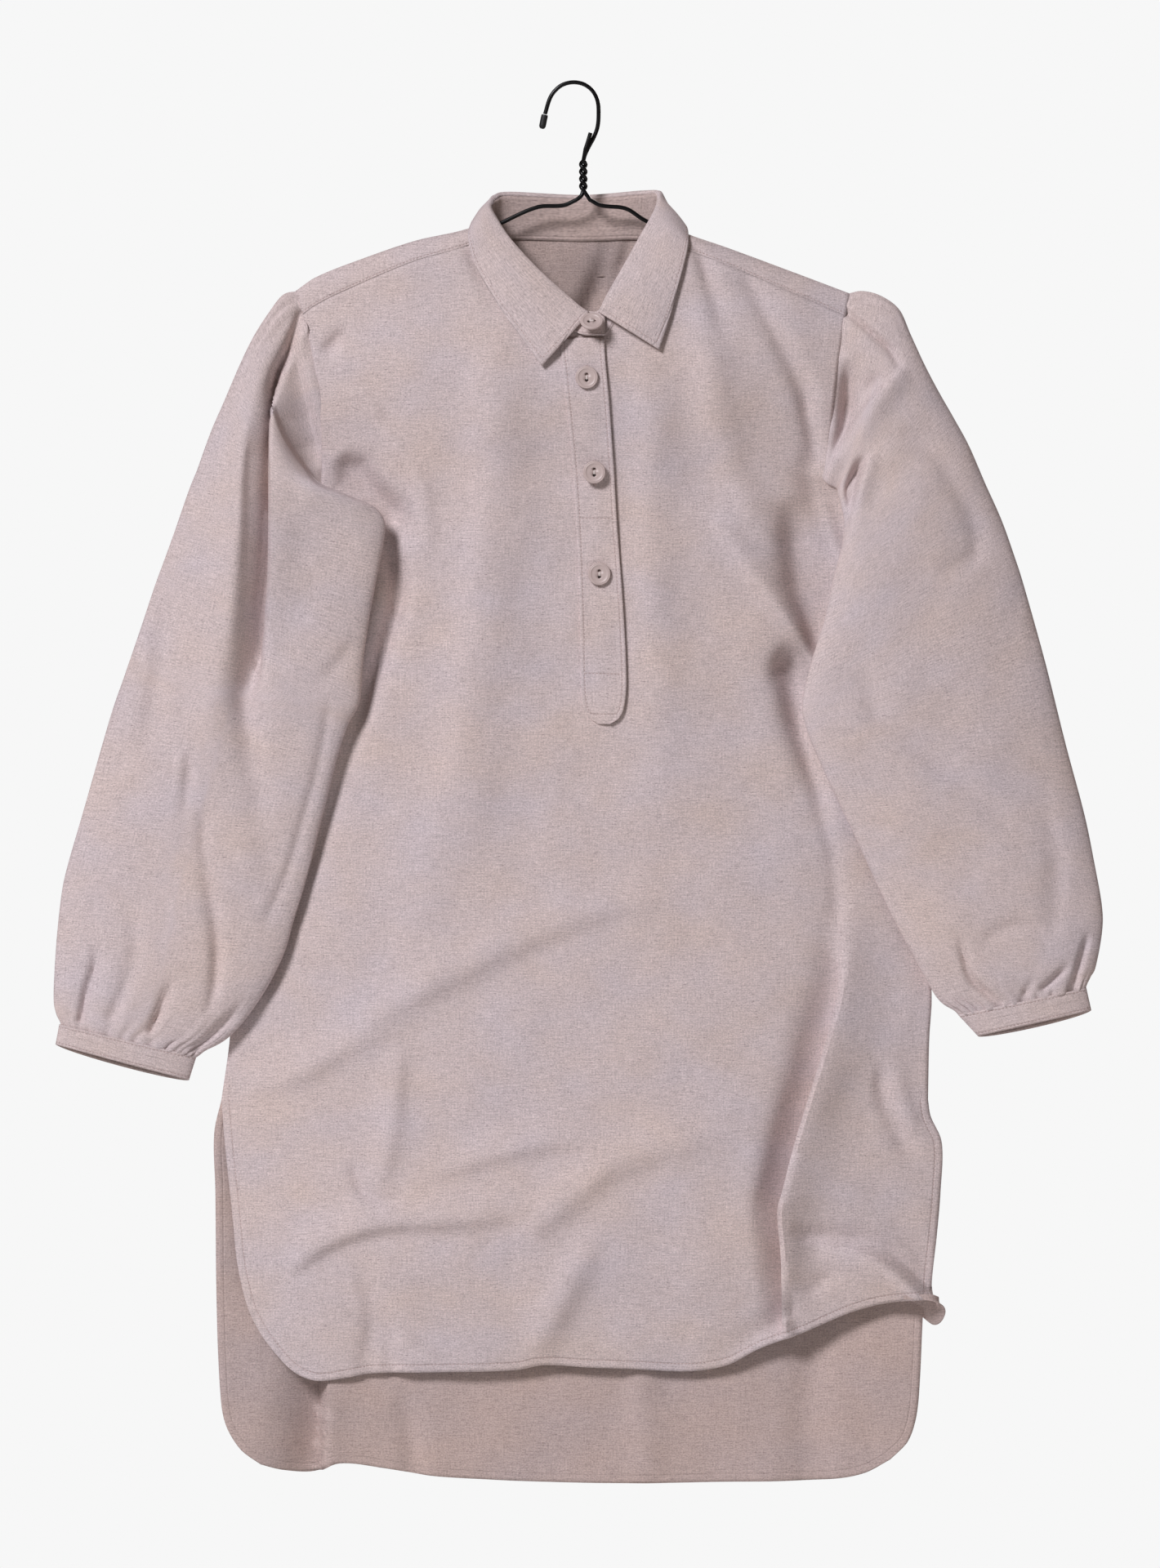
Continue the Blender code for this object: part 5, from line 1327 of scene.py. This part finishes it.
def sew(name, surface, routes, wall, pitch=STITCH_PITCH):
    """Rows of small stitches that lie on the cloth along routes of places, half sunk in it."""
    bm = bmesh.new()
    for route in routes:
        route = np.asarray(route, dtype=float)
        steps = np.concatenate([[0.0], np.cumsum(np.linalg.norm(np.diff(route, axis=0), axis=1))])
        for start in np.arange(0.4, steps[-1] - STITCH_LENGTH, pitch):
            ends = [Vector([np.interp(at, steps, c) * MM for c in route.T])
                    for at in (start, start + STITCH_LENGTH)]
            middle = (ends[0] + ends[1]) / 2
            found, normal = surface.find_nearest(middle)[:2]
            if normal.dot(Vector((0, -1, 0)) if middle.y < 0 else Vector((0, 1, 0))) < 0:
                normal = -normal
            along = (ends[1] - ends[0]).normalized()
            across = normal.cross(along).normalized()
            turn = Matrix((along, across, normal)).transposed().to_4x4()
            size = Matrix.Diagonal((STITCH_LENGTH * MM / 2, STITCH_WIDTH * MM, STITCH_WIDTH * MM * 0.8, 1))
            at = Matrix.Translation(found + normal * wall * MM * STITCH_SINK)
            bmesh.ops.create_icosphere(bm, subdivisions=1, radius=1.0, matrix=at @ turn @ size)
    made = finish_mesh(name, bm, thread)
    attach(made, "root")
    return made


def inset(line, distance):
    """A line moved to its left as it runs, by that many millimetres."""
    line = np.asarray(line, dtype=float)
    run = np.gradient(line, axis=0)
    run /= np.linalg.norm(run, axis=1, keepdims=True)
    return line + np.stack([-run[:, 1], run[:, 0]], axis=-1) * distance


def on_body_route(line, face):
    """A line of x and z as places on the body's cloth."""
    return on_body(line[:, 0], line[:, 1], face)


def made_route(place, grain, line):
    """A line in a made-up piece's own millimetres, as places on it."""
    line = dense_line(line, 1.0)
    return place(line[:, 0] / grain[0], line[:, 1] / grain[1])


def dense_line(line, step):
    """A line of straight runs, in short steps."""
    line = np.asarray(line, dtype=float)
    steps = np.concatenate([[0.0], np.cumsum(np.linalg.norm(np.diff(line, axis=0), axis=1))])
    at = np.linspace(0, steps[-1], int(steps[-1] / step) + 2)
    return np.stack([np.interp(at, steps, c) for c in line.T], axis=-1)


def corner_turn():
    """The front's right corner, which rolls back on itself and shows its underside."""
    base = body_depth(CORNER_FOOT[:1], CORNER_FOOT[1:], -1)[0] - CORNER_OFFSET

    def place(u, v):
        low = through(lengths(CORNER_RIM), CORNER_RIM, u)
        high = through(lengths(CORNER_CREST), CORNER_CREST, u)
        point = high + (low - high) * v[:, None]
        point[:, 0] -= CORNER_BOW * np.sin(np.pi * v) * np.sin(np.pi * u)
        point[:, 1] += base
        return point

    return place


# Buttons and hanger

def turned(profile, segments=48):
    """A round piece from its profile of radius and depth, its face towards the viewer."""
    bm = bmesh.new()
    edge = [bm.verts.new((radius * MM, depth * MM, 0)) for radius, depth in profile]
    for start, end in zip(edge, edge[1:]):
        bm.edges.new((start, end))
    bmesh.ops.spin(bm, geom=bm.verts[:] + bm.edges[:], cent=(0, 0, 0), axis=(0, 1, 0),
                   angle=2 * math.pi, steps=segments, use_merge=True, use_duplicate=False)
    return bm


def button(name, x, z):
    """A resin button: rounded rim, dished face, two upright holes, sewn with pale thread.
    The one on the neck tab tips back with the tab, its holes level."""
    low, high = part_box(name)
    place = Matrix.Translation(Vector((x, (low[1] + high[1]) / 2 / MM + BUTTON_SHIFT, z)) * MM)
    if name == "button_collar":
        place = place @ Matrix.Rotation(math.radians(TAB_BUTTON_TIP), 4, "X")
        place = place @ Matrix.Rotation(math.radians(TAB_BUTTON_TURN), 4, "Y")
    bm = turned(BUTTON_PROFILE)
    for face_y, flip in ((BUTTON_PROFILE[0][1], 1), (BUTTON_PROFILE[-1][1], -1)):
        ring = [edge for edge in bm.edges if edge.is_boundary
                and all(abs(vert.co.y - face_y * MM) < 1e-6 for vert in edge.verts)]
        holes = []
        for step in (-BUTTON_HOLE_STEP, BUTTON_HOLE_STEP):
            at = Matrix.Translation((0, face_y * MM, step * MM)) @ Matrix.Rotation(math.pi / 2, 4, "X")
            made = bmesh.ops.create_circle(bm, segments=16, radius=BUTTON_HOLE_RADIUS * MM, matrix=at)
            holes += list({edge for vert in made["verts"] for edge in vert.link_edges})
        bmesh.ops.triangle_fill(bm, use_beauty=True, edges=ring + holes, normal=(0, -flip, 0))
    loops = [edge for edge in bm.edges if edge.is_boundary]
    bmesh.ops.bridge_loops(bm, edges=loops)
    bmesh.ops.recalc_face_normals(bm, faces=bm.faces)
    bmesh.ops.transform(bm, matrix=place, verts=bm.verts)
    made = finish_mesh(name + "_resin", bm, resin)
    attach(made, "root")
    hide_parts(name)
    bm = bmesh.new()
    for shift in STRAND_SHIFTS:
        at = Matrix.Translation(Vector((shift, STRAND_DEPTH - abs(shift) * 0.2, 0)) * MM)
        size = Matrix.Diagonal((*(half * MM for half in STRAND_SIZE), 1))
        bmesh.ops.create_icosphere(bm, subdivisions=2, radius=1.0, matrix=place @ at @ size)
    strands = finish_mesh(name + "_thread", bm, pale_thread)
    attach(strands, "root")


def wire(name, points, radius, finish, radii=None):
    """Round wire along places."""
    curve = bpy.data.curves.new(name, "CURVE")
    curve.dimensions = "3D"
    curve.bevel_depth = radius * MM
    curve.bevel_resolution = 6
    curve.use_fill_caps = True
    spline = curve.splines.new("POLY")
    spline.points.add(len(points) - 1)
    for index, place in enumerate(points):
        spline.points[index].co = (*(np.asarray(place) * MM), 1.0)
        spline.points[index].radius = radii[index] if radii is not None else 1.0
    curve.materials.append(finish)
    made = bpy.data.objects.new(name, curve)
    bpy.context.scene.collection.objects.link(made)
    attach(made, "root")
    return made


def flat(route):
    """A route of x and z as places in the hanger's plane."""
    return [(x, 0.0, z) for x, z in route]


def twist(start_angle, steps=80):
    """One strand of the twisted neck, top to foot."""
    i = np.arange(steps + 1) / steps
    angle = start_angle + 2 * np.pi * TWIST_TURNS * i
    return np.stack([TWIST_X + TWIST_RADIUS * np.cos(angle), TWIST_RADIUS * np.sin(angle),
                     TWIST_TOP + (TWIST_FOOT - TWIST_TOP) * i], axis=-1)


def black_paint():
    """Black enamel on steel wire, dipped: smooth, with a soft highlight."""
    return new_material("black_painted_steel_wire", Base_Color=colour("#0c0c0d"), Roughness=0.3,
                        Specular_IOR_Level=0.3)[0]


def black_rubber():
    """Black rubber, dipped over the wire's end: matt beside the paint."""
    return new_material("black_rubber", Base_Color=colour("#161516"), Roughness=0.6)[0]


def hanger():
    """Two wires twisted into the neck: one bends up into the hook, the other round into the frame."""
    paint, rubber = black_paint(), black_rubber()
    back_strand, front_strand = twist(math.pi / 2), twist(-math.pi / 2)
    leaning = [(x, TWIST_RADIUS * float(smoothstep((HOOK_LEAN_TOP - z) / HOOK_LEAN_SPAN)), z)
               for x, z in HOOK_ROUTE]
    fork = dense([tuple(back_strand[-1]), FORK_BEND, flat(LEFT_ARM_ROUTE)[0]], 8)
    hook = np.concatenate([dense(leaning + [tuple(back_strand[0])], 110)[:-1], back_strand, fork[1:]])
    made = wire("hook_wire", hook, WIRE_RADIUS, paint)
    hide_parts("hanger_hook")
    free_end = [(x, FREE_END_Y, z) for x, z in FREE_END_ROUTE]
    loop = np.concatenate([dense(flat(LEFT_ARM_ROUTE), 40), dense(flat(LEFT_END_ROUTE), 30),
                           dense(flat(RIGHT_END_ROUTE), 30), dense(flat(RIGHT_ARM_ROUTE), 40)])
    tail = np.concatenate([front_strand[::-1], dense(free_end[::-1], 12)[1:]])
    made = wire("frame_wire", np.concatenate([loop, tail]), WIRE_RADIUS, paint)
    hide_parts("hanger_frame")
    tip = dense(flat(TIP_ROUTE), 16)
    radii = np.interp(np.linspace(0, 1, len(tip)), TIP_STATIONS, TIP_SWELL)
    made = wire("soft_tip", tip, TIP_RADIUS, rubber, radii)
    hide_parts("hanger_tip")


# The studio

def studio():
    """Plain pale floor, soft light from above the lens and a pale surround."""
    scene = bpy.context.scene
    scene.view_settings.view_transform = "Standard"
    camera = bpy.data.objects.new("camera", bpy.data.cameras.new("camera"))
    camera.data.sensor_fit = "HORIZONTAL"
    camera.data.sensor_width = SENSOR_WIDTH
    camera.data.lens = SENSOR_WIDTH * VIEW_DISTANCE / VIEW_WIDTH
    camera.data.clip_end = 50.0
    camera.location = (VIEW_X * MM, -VIEW_DISTANCE * MM, VIEW_Z * MM)
    camera.rotation_euler = (math.pi / 2, 0, 0)
    scene.collection.objects.link(camera)
    scene.camera = camera
    for name, place, size, power, tint in LIGHTS:
        lamp = bpy.data.lights.new(name, "AREA")
        lamp.shape = "SQUARE"
        lamp.size = size
        lamp.energy = power
        lamp.color = colour(tint)[:3]
        light = bpy.data.objects.new(name, lamp)
        light.location = place
        target = Vector((0, 0, VIEW_Z * MM))
        light.rotation_euler = (target - Vector(place)).to_track_quat("-Z", "Y").to_euler()
        scene.collection.objects.link(light)
    world = bpy.data.worlds.new("pale_surround")
    world.use_nodes = True
    scene.world = world
    tree = world.node_tree
    tree.nodes.clear()
    seen = node(tree, "ShaderNodeLightPath").outputs["Is Camera Ray"]
    ground = node(tree, "ShaderNodeBackground", {"Color": colour("#f7f7f7"), "Strength": 1.0})
    fill = node(tree, "ShaderNodeBackground", {"Color": colour("#ffeee6"), "Strength": SURROUND_STRENGTH})
    mixed = node(tree, "ShaderNodeMixShader", {0: seen, 1: fill.outputs[0], 2: ground.outputs[0]})
    node(tree, "ShaderNodeOutputWorld", {"Surface": mixed.outputs[0]})
    bm = bmesh.new()
    bmesh.ops.create_grid(bm, x_segments=2, y_segments=2, size=FLOOR_REACH)
    bmesh.ops.translate(bm, verts=bm.verts, vec=(0, 0, FLOOR_Z))
    paint = new_material("pale_floor_paint", Base_Color=colour("#f2f2f1"), Roughness=0.8)[0]
    floor = finish_mesh("floor", bm, paint)


# Everything is made from here on
studio()
cotton = brushed_cotton("brushed_cotton_chambray", "#c8b6b0", "#c3b6b8")
# The inner side isn't raised, but its darker, warmer colour is painted shade: the inner faces lie in shade
cotton_inside_painted_shade = brushed_cotton("chambray_inside_painted_shade", "#b7a29a", "#b2a19e")
thread = sewing_thread("polyester_sewing_thread", "#b49c97", 0.75)
pale_thread = sewing_thread("pale_button_thread", "#d9cdc8", 0.7)
resin = button_resin()

# Lines of stitches, in each piece's own millimetres
slit_left = dense(SLIT_FRONT[-1], 60)
slit_right = dense(SLIT_FRONT[1], 60)
hem_line = np.concatenate([slit_left, dense(HEM_FRONT, 200)[1:-1], slit_right[::-1]])
hem_front_line = inset(dense_line(hem_line, 2.0), HEM_TURN)
slit_left = dense(SLIT_BACK[-1], 60)
slit_right = dense(SLIT_BACK[1], 60)
hem_line = np.concatenate([slit_left, dense(HEM_BACK, 200)[1:-1], slit_right[::-1]])
hem_back_line = inset(dense_line(hem_line, 2.0), HEM_TURN)
seam_t = np.linspace(0, 1, 40)
yoke_lines = [inset(yoke_seam(side, seam_t), side * YOKE_STITCH_INSET) for side in (-1, 1)]
leaf_line = [(3.6, 12), (3.6, 51.4), (426.4, 51.4), (426.4, 12)]
stand_line = [(3, 2.4), (427, 2.4)]
cuff_lines = [[(0, 2.2), (245, 2.2)], [(0, 16.8), (245, 16.8)]]
placket_rows = dense([row[:2] for row in PLACKET], 90), dense([row[2:] for row in PLACKET], 90)
placket_left = inset(placket_rows[0], PLACKET_STITCH_INSET)
placket_right = inset(placket_rows[1], -PLACKET_STITCH_INSET)
placket_line = np.concatenate([placket_left[:-3], placket_right[:-3][::-1]])
placket_lines = [placket_line, np.array([(6.0, -346.0), (32.0, -346.5)]),
                 np.array([(8.5, -469.0), (38.5, -470.0)])]
buttonholes = [np.array([(x + step, z + reach) for reach in BUTTONHOLE_REACH])
               for name, x, z in BUTTONS[1:] for step in (-BUTTONHOLE_HALF_WIDTH, BUTTONHOLE_HALF_WIDTH)]

# The body
front, skin = cloth("front_panel", "front", front_surface(), FRONT_GRID, lines=[hem_front_line])
sew("front_stitches", skin, [on_body_route(hem_front_line, -1)], WALL)
back, skin = cloth("back_panel", "back", back_surface(), BACK_GRID, lines=[hem_back_line])
sew("back_stitches", skin, [on_body_route(hem_back_line, 1)], WALL)
yoke, skin = cloth("yoke_panel", "yoke", yoke_surface(), YOKE_GRID, lines=yoke_lines)
sew("yoke_stitches", skin, [on_body_route(line, -1) for line in yoke_lines], WALL)

# The collar
place = stand_surface()
stand, skin = cloth("collar_band", "collar_stand", place, STAND_GRID, MADE_UP_WALL, STAND_SIZE,
                    lines=[stand_line])
sew("band_stitches", skin, [made_route(place, STAND_SIZE, stand_line)], MADE_UP_WALL)
place = leaf_surface()
leaf, skin = cloth("collar_leaf", "collar_fall", place, LEAF_GRID, MADE_UP_WALL, LEAF_SIZE,
                   lines=[leaf_line])
sew("leaf_stitches", skin, [made_route(place, LEAF_SIZE, leaf_line)], MADE_UP_WALL)

# The placket, and the front's turned corner
band, skin = cloth("placket_band", "placket", placket_surface(), PLACKET_GRID, MADE_UP_WALL,
                   lines=placket_lines)
sew("placket_stitches", skin, [on_placket(dense_line(line, 1.0)) for line in placket_lines], MADE_UP_WALL)
sew("buttonhole_stitches", skin, [on_placket(dense_line(line, 1.0)) for line in buttonholes],
    MADE_UP_WALL, BUTTONHOLE_PITCH)
# The turned corner wears the darker inside copy on both faces: painted shade for its shadowed underside
corner = cloth("front_corner", None, corner_turn(), CORNER_GRID, finish=cotton_inside_painted_shade)[0]

# The sleeves and cuffs
sleeves, cuffs = {}, {}
for side, word in ((-1, "left"), (1, "right")):
    sleeves[side] = cloth("sleeve_" + word + "_cloth", "sleeve_" + word, sleeve_surface(side),
                          SLEEVE_GRID, grain=SLEEVE_SIZE, tube=True)[0]
    place = cuff_surface(side)
    cuffs[side], skin = cloth("cuff_" + word + "_band", "cuff_" + word, place, CUFF_GRID,
                              MADE_UP_WALL, CUFF_SIZE, True, cuff_lines)
    routes = [made_route(place, CUFF_SIZE, line) for line in cuff_lines]
    sew("cuff_" + word + "_stitches", skin, routes, MADE_UP_WALL)

for name, x, z in BUTTONS:
    button(name, x, z)
hanger()
